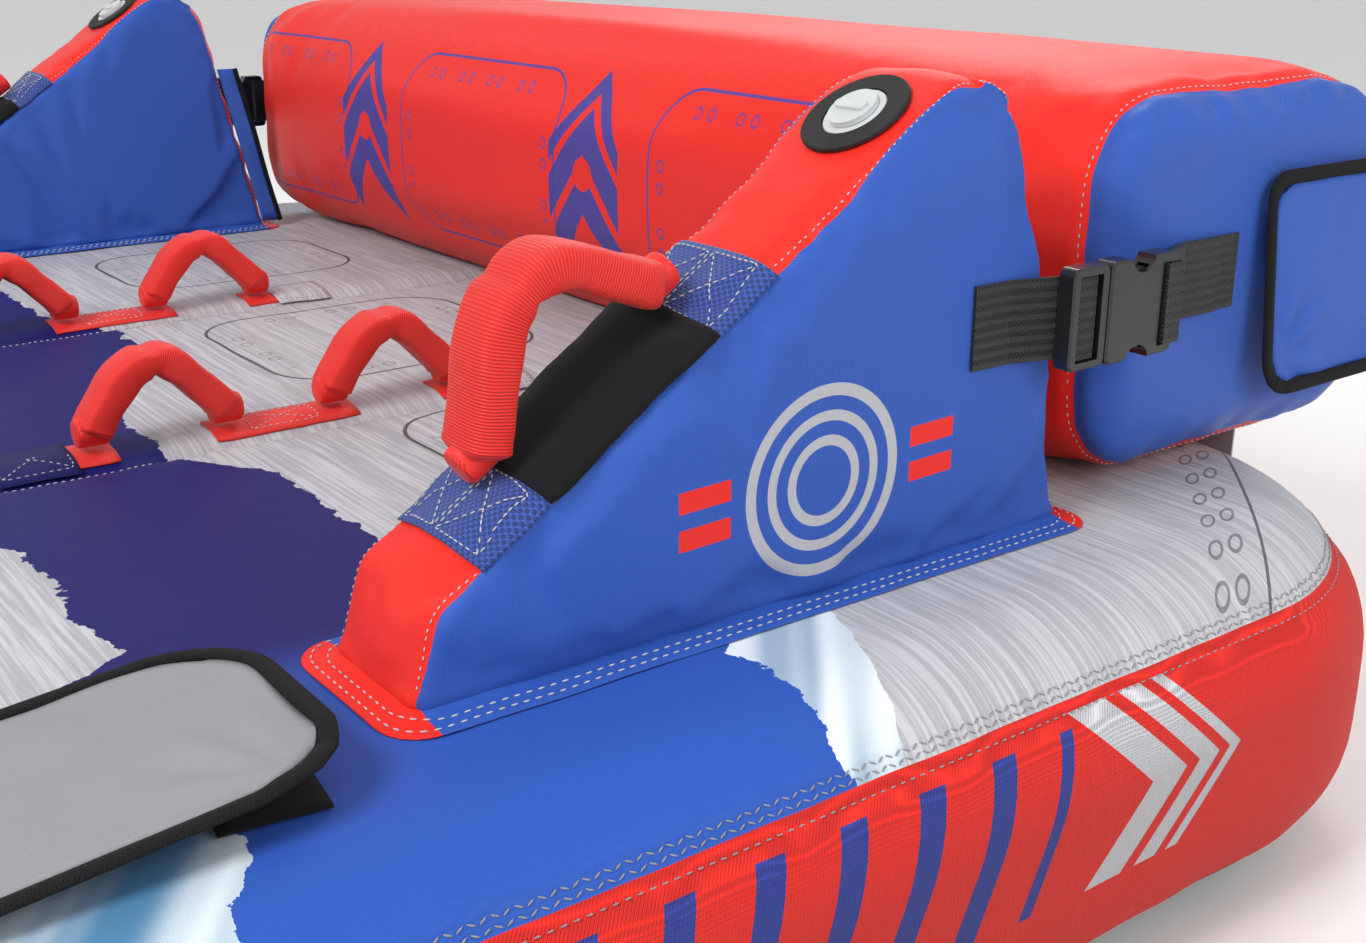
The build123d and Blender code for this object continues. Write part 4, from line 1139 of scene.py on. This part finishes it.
def conform(name, material, centre, acrossDir, alongDir, down, width, length, lift, thick, cells, target,
            body, slot, roundCorner=0.0):
    # a flat piece of cloth laid onto a surface: every point is dropped along down
    bm = bmesh.new()
    bmesh.ops.create_grid(bm, x_segments=cells[0], y_segments=cells[1], size=0.5)
    uvLayer = bm.loops.layers.uv.new("along")
    flat = {}
    for v in bm.verts:
        a, b = v.co.x * width, v.co.y * length
        if roundCorner:
            overA = max(abs(a) - (width / 2 - roundCorner), 0)
            overB = max(abs(b) - (length / 2 - roundCorner), 0)
            reach = math.hypot(overA, overB)
            if overA > 0 and overB > 0 and reach > 0:
                scale = max(overA, overB) / reach
                a -= math.copysign(overA * (1 - scale), a)
                b -= math.copysign(overB * (1 - scale), b)
        flat[v] = (b, a)
        start = centre + acrossDir * a + alongDir * b - down * 0.06
        hit, normal, _, _ = target.ray_cast(start, down)
        if hit is None:
            hit, normal, _, _ = target.find_nearest(start + down * 0.06)
        v.co = hit + normal * lift
    for face in bm.faces:
        for corner in face.loops:
            corner[uvLayer].uv = flat[corner.vert]
    bmesh.ops.recalc_face_normals(bm, faces=bm.faces)
    up = sum((f.normal for f in bm.faces), Vector())
    if up.dot(down) > 0:
        bmesh.ops.reverse_faces(bm, faces=bm.faces)
    bmesh.ops.solidify(bm, geom=bm.faces, thickness=-thick)
    piece = toObject(bm, name, material)
    return settle(piece, body) if body else piece


bandData = {"length": 0.050, "front": 0.034, "rear": 0.202, "half": 0.0436}
padCentre = (bandData["front"] + bandData["length"] + bandData["rear"]) / 2
acrossX = Vector((1, 0, 0))
bandPieces = []
for label, start in (("front", bandData["front"]), ("rear", bandData["rear"])):
    middle = onSlope(start + bandData["length"] / 2)
    bandPieces.append(conform(f"leftBand_{label}", "navyCloth", middle, acrossX, slopeDir, -slopeUp,
                              2 * bandData["half"], bandData["length"], 0.0012, 0.0014, (26, 14),
                              cushionSkin, None, None))
pad = conform("leftPad", "neoprene", onSlope(padCentre), acrossX, slopeDir, -slopeUp,
              2 * bandData["half"],
              bandData["rear"] - bandData["front"] - bandData["length"] + 0.006, 0.0012, 0.0034, (26, 30),
              cushionSkin, None, None)
bandSkin = surfaceOf(leftStrip, leftPanels, *bandPieces)
boxLines = []
for start in (bandData["front"], bandData["rear"]):
    low, high = start + 0.004, start + bandData["length"] - 0.004
    edge = bandData["half"] - 0.004
    for left, right in ((-edge, -edge * 0.04), (edge * 0.04, edge)):
        corners = [onSlope(low, 0.01, left), onSlope(low, 0.01, right), onSlope(high, 0.01, right),
                   onSlope(high, 0.01, left)]
        boxLines.append(corners + corners[:1])
        boxLines.append([corners[0], corners[2]])
        boxLines.append([corners[1], corners[3]])
boxStitches = stitches("leftBandStitches", boxLines, "whiteThread", bandSkin, dash=0.0038, gap=0.0011,
                       width=0.0010)
outlineLoop = [Vector((0, p.x, p.y)) for p in cushionOutline(cushion["inset"] * 0.4, 16)]
arcs = [p for p in outlineLoop if p.z > deckTopZ + 0.012]
heelFoot = Vector((0, cushionHigh.y - 0.006, deckTopZ + 0.012))
toeFoot = Vector((0, cushionLow.y + 0.006, deckTopZ + 0.012))
topRun = [heelFoot, *arcs, toeFoot]
seamLines = []
for offset in (-cushion["stripHalf"] - 0.0016, cushion["stripHalf"] + 0.0016):
    seamLines.append([p + Vector((cushionMid + offset, 0, 0)) for p in topRun])
seamStitches = stitches("leftSeamStitches", seamLines, "whiteThread", cushionSkin, dash=0.0026,
                        gap=0.0022, width=0.0009)


def makeFlange():
    # the cushion's sewn base, turned out on the deck all round
    low = Vector((cushionLow.x + 0.002, cushionLow.y + 0.004))
    high = Vector((cushionHigh.x - 0.002, cushionHigh.y - 0.003))
    spread = 0.0155
    loops = []
    for grow, radius in ((-0.011, 0.006), (-0.002, 0.012), (0.006, 0.018), (spread, 0.026)):
        corners = [Vector((low.x - grow, low.y - grow)), Vector((high.x + grow, low.y - grow)),
                   Vector((high.x + grow, high.y + grow)), Vector((low.x - grow, high.y + grow))]
        loops.append(roundedOutline(corners, [radius] * 4, 6))
    bm = bmesh.new()
    rings = []
    for index, loop in enumerate(loops):
        points = []
        for a, b in zip(loop, loop[1:] + loop[:1]):
            count = max(1, round((loops[0][(loop.index(a) + 1) % len(loop)]
                                  - loops[0][loop.index(a)]).length / 0.012))
            points += [a.lerp(b, k / count) for k in range(count)]
        verts = []
        for point in points:
            z = (0.010, 0.0035, 0.0022, 0.0014)[index]
            hit, normal, _, _ = deckSkin.find_nearest(Vector((point.x, point.y, deckTopZ)))
            wave = 0.0009 * noise.noise(Vector((point.x * 40, point.y * 40, index * 1.7)))
            verts.append(bm.verts.new(Vector((point.x, point.y, hit.z + z + wave * (index > 1)))))
        rings.append([bm.edges.new((a, b)) for a, b in zip(verts, verts[1:] + verts[:1])])
    for a, b in zip(rings, rings[1:]):
        bmesh.ops.bridge_loops(bm, edges=a + b)
    bmesh.ops.recalc_face_normals(bm, faces=bm.faces)
    if sum(f.normal.z for f in bm.faces) < 0:
        bmesh.ops.reverse_faces(bm, faces=bm.faces)
    bmesh.ops.solidify(bm, geom=bm.faces, thickness=0.0012)
    piece = toObject(bm, "leftFlange", "flangeNylon")
    lines = []
    for grow in (0.004, 0.0105):
        corners = [Vector((low.x - grow, low.y - grow)), Vector((high.x + grow, low.y - grow)),
                   Vector((high.x + grow, high.y + grow)), Vector((low.x - grow, high.y + grow))]
        ring = roundedOutline(corners, [0.022] * 4, 6)
        lines.append([Vector((p.x, p.y, deckTopZ + 0.004)) for p in ring + ring[:1]])
    return subdivided(piece), lines


flange, flangeLines = makeFlange()
flangeStitches = stitches("leftFlangeStitches", flangeLines, "whiteThread", surfaceOf(flange),
                          dash=0.0046, gap=0.0024)


def gripSizes(width, thick, flatEnd):
    # full in the middle, pinched flat towards its sewn ends, with a few soft bulges
    def sizes(t):
        ends = min(t, 1 - t) / flatEnd
        full = min(1.0, max(0.0, ends)) ** 0.75
        bulge = 1 + 0.035 * math.sin(t * 23) + 0.03 * math.sin(t * 41 + 1)
        crease = 1 - 0.26 * bell(t - 0.50, 0.030)
        wide = width * (0.56 + 0.44 * full) * (1 + 0.02 * math.sin(t * 31))
        return wide, (0.0085 + (thick - 0.0085) * full) * bulge * crease
    return sizes


def handlePath(foot, along, up, span, rise, shape, count=56):
    points = [foot + along * (span * a) + up * (rise * b) for a, b in shape]
    return smoothPath(points, count)


handleSpan = 0.132
handleFootD = (bandData["front"] + bandData["length"] + bandData["rear"] - handleSpan) / 2
handleShape = ((0.0, 0.0), (0.05, 0.12), (0.12, 0.29), (0.25, 0.63), (0.38, 0.90), (0.50, 1.0),
               (0.62, 0.99), (0.72, 0.84), (0.82, 0.52), (0.93, 0.17), (1.0, 0.0))
leftHandlePath = handlePath(onSlope(handleFootD, 0.0145), slopeDir, slopeUp, handleSpan, 0.0545,
                            handleShape)
leftHandle = sweepTube("leftHandle", leftHandlePath, acrossX, gripSizes(0.0205, 0.0125, 0.055),
                       "redWebbing", 26, 0.5,
                       [(onSlope(handleFootD + run, 0.0155), slopeDir, 0.0112)
                        for run in (0.0, handleSpan)])

twins = {}
for piece in (leftStrip, leftPanels, flange, flangeStitches, pad, boxStitches, seamStitches, leftHandle,
              *bandPieces):
    twins[piece.name] = mirrorAcross(piece, piece.name.replace("left", "right"))


def onThatSide(name, side):
    return bpy.data.objects[name.replace("left", side)]


for side in sides:
    settle(onThatSide("leftCushionStrip", side), "tube",
                     [f"{side}_cushion_gusset", f"{side}_cushion_bladder"])
    settle(onThatSide("leftCushionPanels", side), "tube",
                     [f"{side}_cushion_side_panels"])
    settle(onThatSide("leftFlange", side), "tube")
    settle(onThatSide("leftFlangeStitches", side), "tube")
    settle(onThatSide("leftSeamStitches", side), "tube")
    settle(onThatSide("leftBandStitches", side), "tube")
    settle(onThatSide("leftHandle", side), f"{side}_handle",
                     [f"{side}_cushion_handle_sleeve"])
    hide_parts(f"{side}_cushion_handle_core")
    settle(onThatSide("leftPad", side), "tube")
    for label in ("front", "rear"):
        settle(onThatSide(f"leftBand_{label}", side), "tube")
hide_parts("cushion_knuckle_pads")
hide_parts("cushion_webbing_bands")
print("cushions ready")


# backrest
backrest = {"inset": 0.009, "seamIn": 0.024, "round": 0.064, "voxel": 0.0085}
backLow, backHigh = (Vector(c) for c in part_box("backrest_end_panels"))
backSeam = backHigh.x - backrest["seamIn"]


def backOutline(inset, steps=8):
    low = Vector((backLow.y + inset, backLow.z + inset * 0.3))
    high = Vector((backHigh.y - inset, backHigh.z - inset))
    corners = [low, Vector((high.x, low.y)), high, Vector((low.x, high.y))]
    return roundedOutline(corners, [backrest["round"]] * 4, steps)


def makeBackrest():
    bm = bmesh.new()
    inset = backrest["inset"]
    outline = [bm.verts.new((backLow.x + inset, p.x, p.y)) for p in backOutline(inset)]
    wall = bm.faces.new(outline)
    made = bmesh.ops.extrude_face_region(bm, geom=[wall])["geom"]
    moved = [v for v in made if isinstance(v, bmesh.types.BMVert)]
    bmesh.ops.translate(bm, vec=(2 * (backHigh.x - inset), 0, 0), verts=moved)
    bmesh.ops.recalc_face_normals(bm, faces=bm.faces)
    rims = [e for e in bm.edges if len(e.link_faces) == 2
            and abs(e.verts[0].co.x - e.verts[1].co.x) < 1e-5]
    bmesh.ops.bevel(bm, geom=rims, offset=0.016, affect="EDGES", segments=4, profile=0.5, material=-1)
    blank = toObject(bm, "backrestBlank", "sleeveNylon")

    def held(co):
        return 1.0 if abs(abs(co.x) - backSeam) < 0.006 else 0.0

    inflate(blank, backrest["voxel"], held, cap=0.011, slack=0.04)
    evened(blank, 3)
    endX = backHigh.x - 0.0006
    middle = Vector((0, (backLow.y + backHigh.y) / 2, (backLow.z + backHigh.z) / 2))
    for vertex in blank.data.vertices:
        co = vertex.co
        off = abs(co.x) - backSeam
        inward = (middle - Vector((0, co.y, co.z)))
        gather = 0.5 + 0.5 * noise.noise(Vector((co.y * 48, co.z * 48, 2.3 + math.copysign(5, co.x))))
        tuck = 0.0045 * bell(off, 0.007) + 0.0052 * gather * bell(off, 0.040)
        vertex.co = co + inward.normalized() * tuck
        if off > 0.008:
            edge = max(abs(inward.y) - 0.105, abs(inward.z) - 0.075, 0)
            vertex.co.x -= math.copysign(0.0045 * gather * window(abs(edge - 0.03), 0.0, 0.04), co.x)
            flat = window(max(edge, 0), 0.012, 0.05)
            vertex.co.x += (math.copysign(endX, co.x) - vertex.co.x) * flat
        soft = noise.noise(Vector((co.x * 5, co.y * 9, co.z * 9)))
        vertex.co += inward.normalized() * 0.0011 * (1 + soft)
        vertex.co.z = max(vertex.co.z, backLow.z)
    subdivided(blank)
    sleeve, ends = cutApart(blank, 0, (-backSeam, backSeam), [
        ("backrestSleeve", "sleeveNylon", {1}), ("backrestEnds", "blueNylon", {0, 2})])
    settle(sleeve, "backrest", ["backrest_sleeve", "backrest_bladder"])
    settle(ends, "backrest", ["backrest_end_panels"])
    return sleeve, ends


sleeve, backEnds = makeBackrest()
backSkin = surfaceOf(sleeve, backEnds)
endLines = []
for sign in (-1, 1):
    ring = [Vector((sign * (backSeam - 0.0015), p.x, p.y)) for p in backOutline(0.012, 14)]
    endLines.append(ring + ring[:1])
settle(stitches("backrestEndStitches", endLines, "whiteThread", backSkin, dash=0.0034, gap=0.0030),
       "backrest")
print("backrest ready")


# deck grips
grips = {
    "reach": 0.012,  # from a grip's end to its hinge line
    "arch": ((0.0, 0.0), (0.03, 0.12), (0.13, 0.45), (0.29, 0.84), (0.46, 1.0), (0.61, 0.91),
             (0.79, 0.53), (0.95, 0.16), (1.0, 0.0)),
    "stripWidth": 0.038,
    "stripRuns": ((-0.026, 0.026), (0.098, 0.214), (0.288, 0.344)),
    "patchSpots": (("front", -0.032), ("rear", 0.346)),
    "patchLength": 0.056,
}
gripBoxes = {}
for side in sides:
    for place in ("front", "rear"):
        node = f"deck_grip_{side}_{place}_sleeve"
        low, high = (Vector(c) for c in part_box(node))
        reach = grips["reach"]
        foot = Vector(((low.x + high.x) / 2, low.y + reach, deckTopZ + 0.0125))
        span = high.y - low.y - 2 * reach
        path = handlePath(foot, Vector((0, 1, 0)), Vector((0, 0, 1)), span, high.z - deckTopZ - 0.0250,
                          grips["arch"], 44)
        feet = [(Vector((foot.x, foot.y + run, deckTopZ + 0.0135)), Vector((0, 1, 0)), 0.0110)
                for run in (0.0, span)]
        grip = sweepTube(f"deckGrip_{side}_{place}", path, acrossX, gripSizes(0.0180, 0.0122, 0.08),
                         "stripWebbing", 24, 0.48, feet)
        settle(grip, f"grip_{side}_{place}",
                         [node, node.replace("sleeve", "core")])
        gripBoxes[side, place] = (low, high)

stripWidth = grips["stripWidth"]
patchPieces = []
stripPieces = []
crossLines = []
for side in sides:
    middleX = (gripBoxes[side, "front"][0].x + gripBoxes[side, "front"][1].x) / 2
    for low, high in grips["stripRuns"]:
        centre = Vector((middleX, (low + high) / 2, deckTopZ))
        stripPieces.append(conform(f"gripStrip_{side}_{round(low * 1000) + 26}", "stripWebbing", centre,
                                   acrossX, Vector((0, 1, 0)),
                                   Vector((0, 0, -1)), stripWidth - 0.002, high - low, 0.0004, 0.0016,
                                   (6, 10), deckSkin,
                                   "tube", "red_webbing"))
    for label, middleY in grips["patchSpots"]:
        patch = conform(f"gripPatch_{side}_{label}", "patchCloth" if label == "front" else "deckNylon",
                        Vector((middleX, middleY, deckTopZ)), acrossX, Vector((0, 1, 0)),
                        Vector((0, 0, -1)),
                        stripWidth + 0.010, grips["patchLength"], 0.0022, 0.0008, (8, 8), deckSkin,
                        "tube", "patch_cloth")
        patchPieces.append(patch)
        w, l = stripWidth / 2 + 0.002, 0.025
        corners = [Vector((middleX + a * w, middleY + b * l, deckTopZ)) for a,
                   b in ((-1, -1), (1, -1), (1, 1), (-1, 1))]
        crossLines += [corners + corners[:1], [corners[0], corners[2]], [corners[1], corners[3]]]
    between = (gripBoxes[side, "front"][1].y + 0.004, gripBoxes[side, "rear"][0].y - 0.004)
    flatCorners = [Vector((middleX + a * 0.014, y, deckTopZ)) for a,
                   y in ((-1, between[0]), (1, between[0]), (1, between[1]), (-1, between[1]))]
    crossLines += [flatCorners + flatCorners[:1], [flatCorners[0], flatCorners[2]],
                   [flatCorners[1], flatCorners[3]]]
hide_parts("deck_handle_strips")
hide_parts("deck_handle_patches")
settle(stitches("gripStitches", crossLines, "whiteThread", surfaceOf(*stripPieces, *patchPieces),
                width=0.0009), "tube")
print("grips ready")


# valve flaps
def makeFlap(name, node, bindingNode, body, material, hinge, alongDir, acrossDir, upDir, width,
             length, crown, corner):
    # a cloth flap with a rolled black binding, hinged along one edge
    bm = bmesh.new()
    corners = [Vector((-width / 2, 0.004)), Vector((width / 2, 0.004)), Vector((width / 2, length)),
               Vector((-width / 2, length))]
    outline = roundedOutline(corners, [corner * 0.6, corner * 0.6, corner, corner], 8)

    def bow(a, b):
        toCorner = Vector((a - width * 0.42, b - length * 0.86))
        fold = math.sin(math.atan2(toCorner.y, toCorner.x) * 9) * window(toCorner.length, 0.02, 0.09)
        fold *= min(1.0, toCorner.length / 0.03)
        return 0.0016 * fold + crown * math.sin(math.pi * min(1, max(0, b / length))) * math.cos(math.pi
            * a / width * 0.9) \
            + 0.0012 * noise.noise(Vector((a * 30, b * 30, 4.4)))

    bmesh.ops.create_grid(bm, x_segments=30, y_segments=30, size=0.5)
    for v in bm.verts:
        a, b = v.co.x * (width - 0.008), (v.co.y + 0.5) * (length - 0.012) + 0.008
        overA = max(abs(a) - (width / 2 - 0.004 - corner), 0)
        overB = max(abs(b - length / 2) - (length / 2 - 0.006 - corner), 0)
        reach = math.hypot(overA, overB)
        if overA > 0 and overB > 0:
            scale = max(overA, overB) / reach
            a -= math.copysign(overA * (1 - scale), a)
            b -= math.copysign(overB * (1 - scale), b - length / 2)
        v.co = hinge + acrossDir * a + alongDir * b + upDir * (0.0015 + bow(a, b))
    bmesh.ops.recalc_face_normals(bm, faces=bm.faces)
    if sum((f.normal for f in bm.faces), Vector()).dot(upDir) < 0:
        bmesh.ops.reverse_faces(bm, faces=bm.faces)
    bmesh.ops.solidify(bm, geom=bm.faces, thickness=0.0014)
    panel = toObject(bm, name, material)
    settle(panel, body, [node])
    ring = [hinge + acrossDir * p.x + alongDir * p.y + upDir * (0.0015 + bow(p.x, p.y)) for p in outline]
    path = resample(ring + ring[:2], 0.006)
    bm = bmesh.new()
    closed = path + [path[0]]
    loops = []
    for index, centre in enumerate(path):
        tangent = (closed[(index + 1) % len(path)] - path[index - 1]).normalized()
        out = tangent.cross(upDir).normalized()
        made = bmesh.ops.create_circle(bm, segments=10, radius=1.0)["verts"]
        for v in made:
            angle = math.atan2(v.co.y, v.co.x)
            v.co = centre + out * (0.0052 * math.cos(angle)) + upDir * (0.0024 * math.sin(angle))
        loops.append([e for e in {e for v in made for e in v.link_edges}])
    for a, b in zip(loops, loops[1:] + loops[:1]):
        bmesh.ops.bridge_loops(bm, edges=a + b)
    binding = toObject(bm, name + "Binding", "binding")
    settle(binding, body, [bindingNode])
    inner = [hinge + acrossDir * (p.x * 0.90) + alongDir * ((p.y - length / 2) * 0.935 + length / 2)
             for p in outline]
    line = stitches(name + "Stitches", [inner + inner[:1]], "blackThread", surfaceOf(panel), dash=0.003,
                    gap=0.0016)
    settle(line, body)


flaps = {
    "deckWidth": 0.150,
    "deckLength": 0.210,
    "deckCorner": 0.045,
    "deckTilt": math.radians(5.5),
    "endWidth": 0.152,
    "endLength": 0.150,
    "endCorner": 0.026,
    "endLean": math.radians(5.0),
    "crown": 0.004,
    "closingLow": 0.246,
    "closingTall": 0.186,
    "hookSpot": (0.690, -0.078),
    "hookSize": (0.084, 0.050),
}
deckFlapLow, deckFlapHigh = (Vector(c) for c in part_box("deck_valve_flap_binding"))
tilt = flaps["deckTilt"]
makeFlap("deckFlap", "deck_valve_flap", "deck_valve_flap_binding", "deck_flap", "greyCloth",
         Vector(((deckFlapLow.x + deckFlapHigh.x) / 2, deckFlapLow.y + 0.0003, deckTopZ + 0.0036)),
         Vector((0, math.cos(tilt), math.sin(tilt))), acrossX,
         Vector((0, -math.sin(tilt), math.cos(tilt))),
         flaps["deckWidth"], flaps["deckLength"], flaps["crown"], flaps["deckCorner"])
endFlapLow, endFlapHigh = (Vector(c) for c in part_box("backrest_valve_flap_binding"))
lean = flaps["endLean"]
makeFlap("endFlap", "backrest_valve_flap", "backrest_valve_flap_binding", "backrest_flap", "blueNylon",
         Vector((endFlapLow.x, (endFlapLow.y + endFlapHigh.y) / 2, endFlapHigh.z - 0.0002)),
         Vector((math.sin(lean), 0, -math.cos(lean))), Vector((0, -1, 0)),
         Vector((math.cos(lean), 0, math.sin(lean))),
         flaps["endWidth"], flaps["endLength"], flaps["crown"], flaps["endCorner"])
for side, sign in sides.items():
    bm = bmesh.new()
    bmesh.ops.create_grid(bm, x_segments=4, y_segments=16, size=0.5)
    edge = []
    for v in bm.verts:
        out, rise = v.co.x + 0.5, v.co.y + 0.5
        z = flaps["closingLow"] + flaps["closingTall"] * rise
        heel = cushionHigh.y - (z - deckTopZ) * math.tan(cushion["heelLean"])
        sway = 0.0016 * math.sin(rise * 9 + sign) * out
        v.co = Vector((sign * (cushionLow.x + 0.0045 + 0.003 * (1 - out) + sway),
                       heel - 0.007 + 0.021 * out, z))
        if out > 0.99:
            edge.append(v.co.copy())
    bmesh.ops.recalc_face_normals(bm, faces=bm.faces)
    bmesh.ops.solidify(bm, geom=bm.faces, thickness=0.0018)
    closing = settle(toObject(bm, f"closingFlap_{side}", "blueNylon"), "tube")
    edge.sort(key=lambda p: p.z)
    trim = sweepTube(f"closingTrim_{side}", edge, acrossX, lambda _: (0.0026, 0.0030), "binding", 8)
    settle(trim, "tube")
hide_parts("cushion_closing_flaps")
hook = conform("hookPatch", "neoprene", Vector((*flaps["hookSpot"], deckTopZ)),
               Vector((0.990, -0.139, 0)), Vector((0.139, 0.990, 0)),
               Vector((0, 0, -1)), *flaps["hookSize"], 0.0018, 0.0014, (14, 10), deckSkin, "tube",
               "neoprene")
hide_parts("deck_flap_hook_patch")
print("flaps ready")


# carried-over CAD nodes
finishes = {
    "ringRubber": ["cushion_valve_rings"],
    "clearValve": ["deck_valve_body", "deck_valve_cap", "cushion_valve_bodies", "left_cushion_valve_cap",
                   "right_cushion_valve_cap", "backrest_valve_body", "backrest_valve_cap"],
    "bladderVinyl": ["deck_bladder", "left_cushion_bladder", "right_cushion_bladder", "backrest_bladder"],
    "blackPlastic": [f"{s}_buckle_{h}" for s in sides for h in ("male", "female")]
    + [f"{s}_latch_arm_{p}" for s in sides for p in ("upper", "lower")],
    "strap": ["cushion_straps", "left_backrest_strap", "right_backrest_strap", "tow_loop"],
    "zipperTape": ["zipper_tape"],
    "zipperPlastic": ["zipper_slider"],
    "steel": ["tow_ring"],
    "webCloth": ["rear_web"],
}
for material, names in finishes.items():
    for name in names:
        node = frame["nodes"][name]
        for slot in node.material_slots:
            slot.material = materials[material]

# floor, light and camera
camera = bpy.data.objects.new("camera", bpy.data.cameras.new("camera"))
camera.location = (1.307, -0.296, 0.603)
camera.rotation_euler = (math.radians(90 - 19.19), 0, math.radians(53.43))
camera.data.sensor_width = 36
camera.data.lens = 41.9
camera.data.clip_start = 0.02
scene.collection.objects.link(camera)
scene.camera = camera

bm = bmesh.new()
bmesh.ops.create_grid(bm, x_segments=1, y_segments=1, size=14)
floorMaterial, net, shader = startMaterial("floorPaint", 0.85)
shader.inputs["Base Color"].default_value = (0.86, 0.86, 0.86, 1)
materials["floorPaint"] = floorMaterial
floor = toObject(bm, "floor", "floorPaint")
for vertex in floor.data.vertices:
    vertex.co.z = -0.0005

world = bpy.data.worlds.new("studio")
world.use_nodes = True
world.node_tree.nodes["Background"].inputs[0].default_value = (1, 1, 1, 1)
world.node_tree.nodes["Background"].inputs[1].default_value = 0.68
scene.world = world


def areaLight(name, place, target, size, power):
    light = bpy.data.objects.new(name, bpy.data.lights.new(name, "AREA"))
    light.data.size = size
    light.data.energy = power
    light.location = place
    light.rotation_euler = (Vector(target) - Vector(place)).to_track_quat("-Z", "Y").to_euler()
    scene.collection.objects.link(light)


areaLight("key", (0.9, -2.2, 2.6), (0.3, 0.2, 0.3), 1.2, 80)
areaLight("fill", (3.0, 0.8, 1.6), (0.5, 0.3, 0.3), 1.6, 28)
areaLight("rim", (-1.5, 2.6, 2.4), (0, 0.4, 0.4), 1.2, 30)
scene.view_settings.view_transform = "Standard"
print("stage ready")
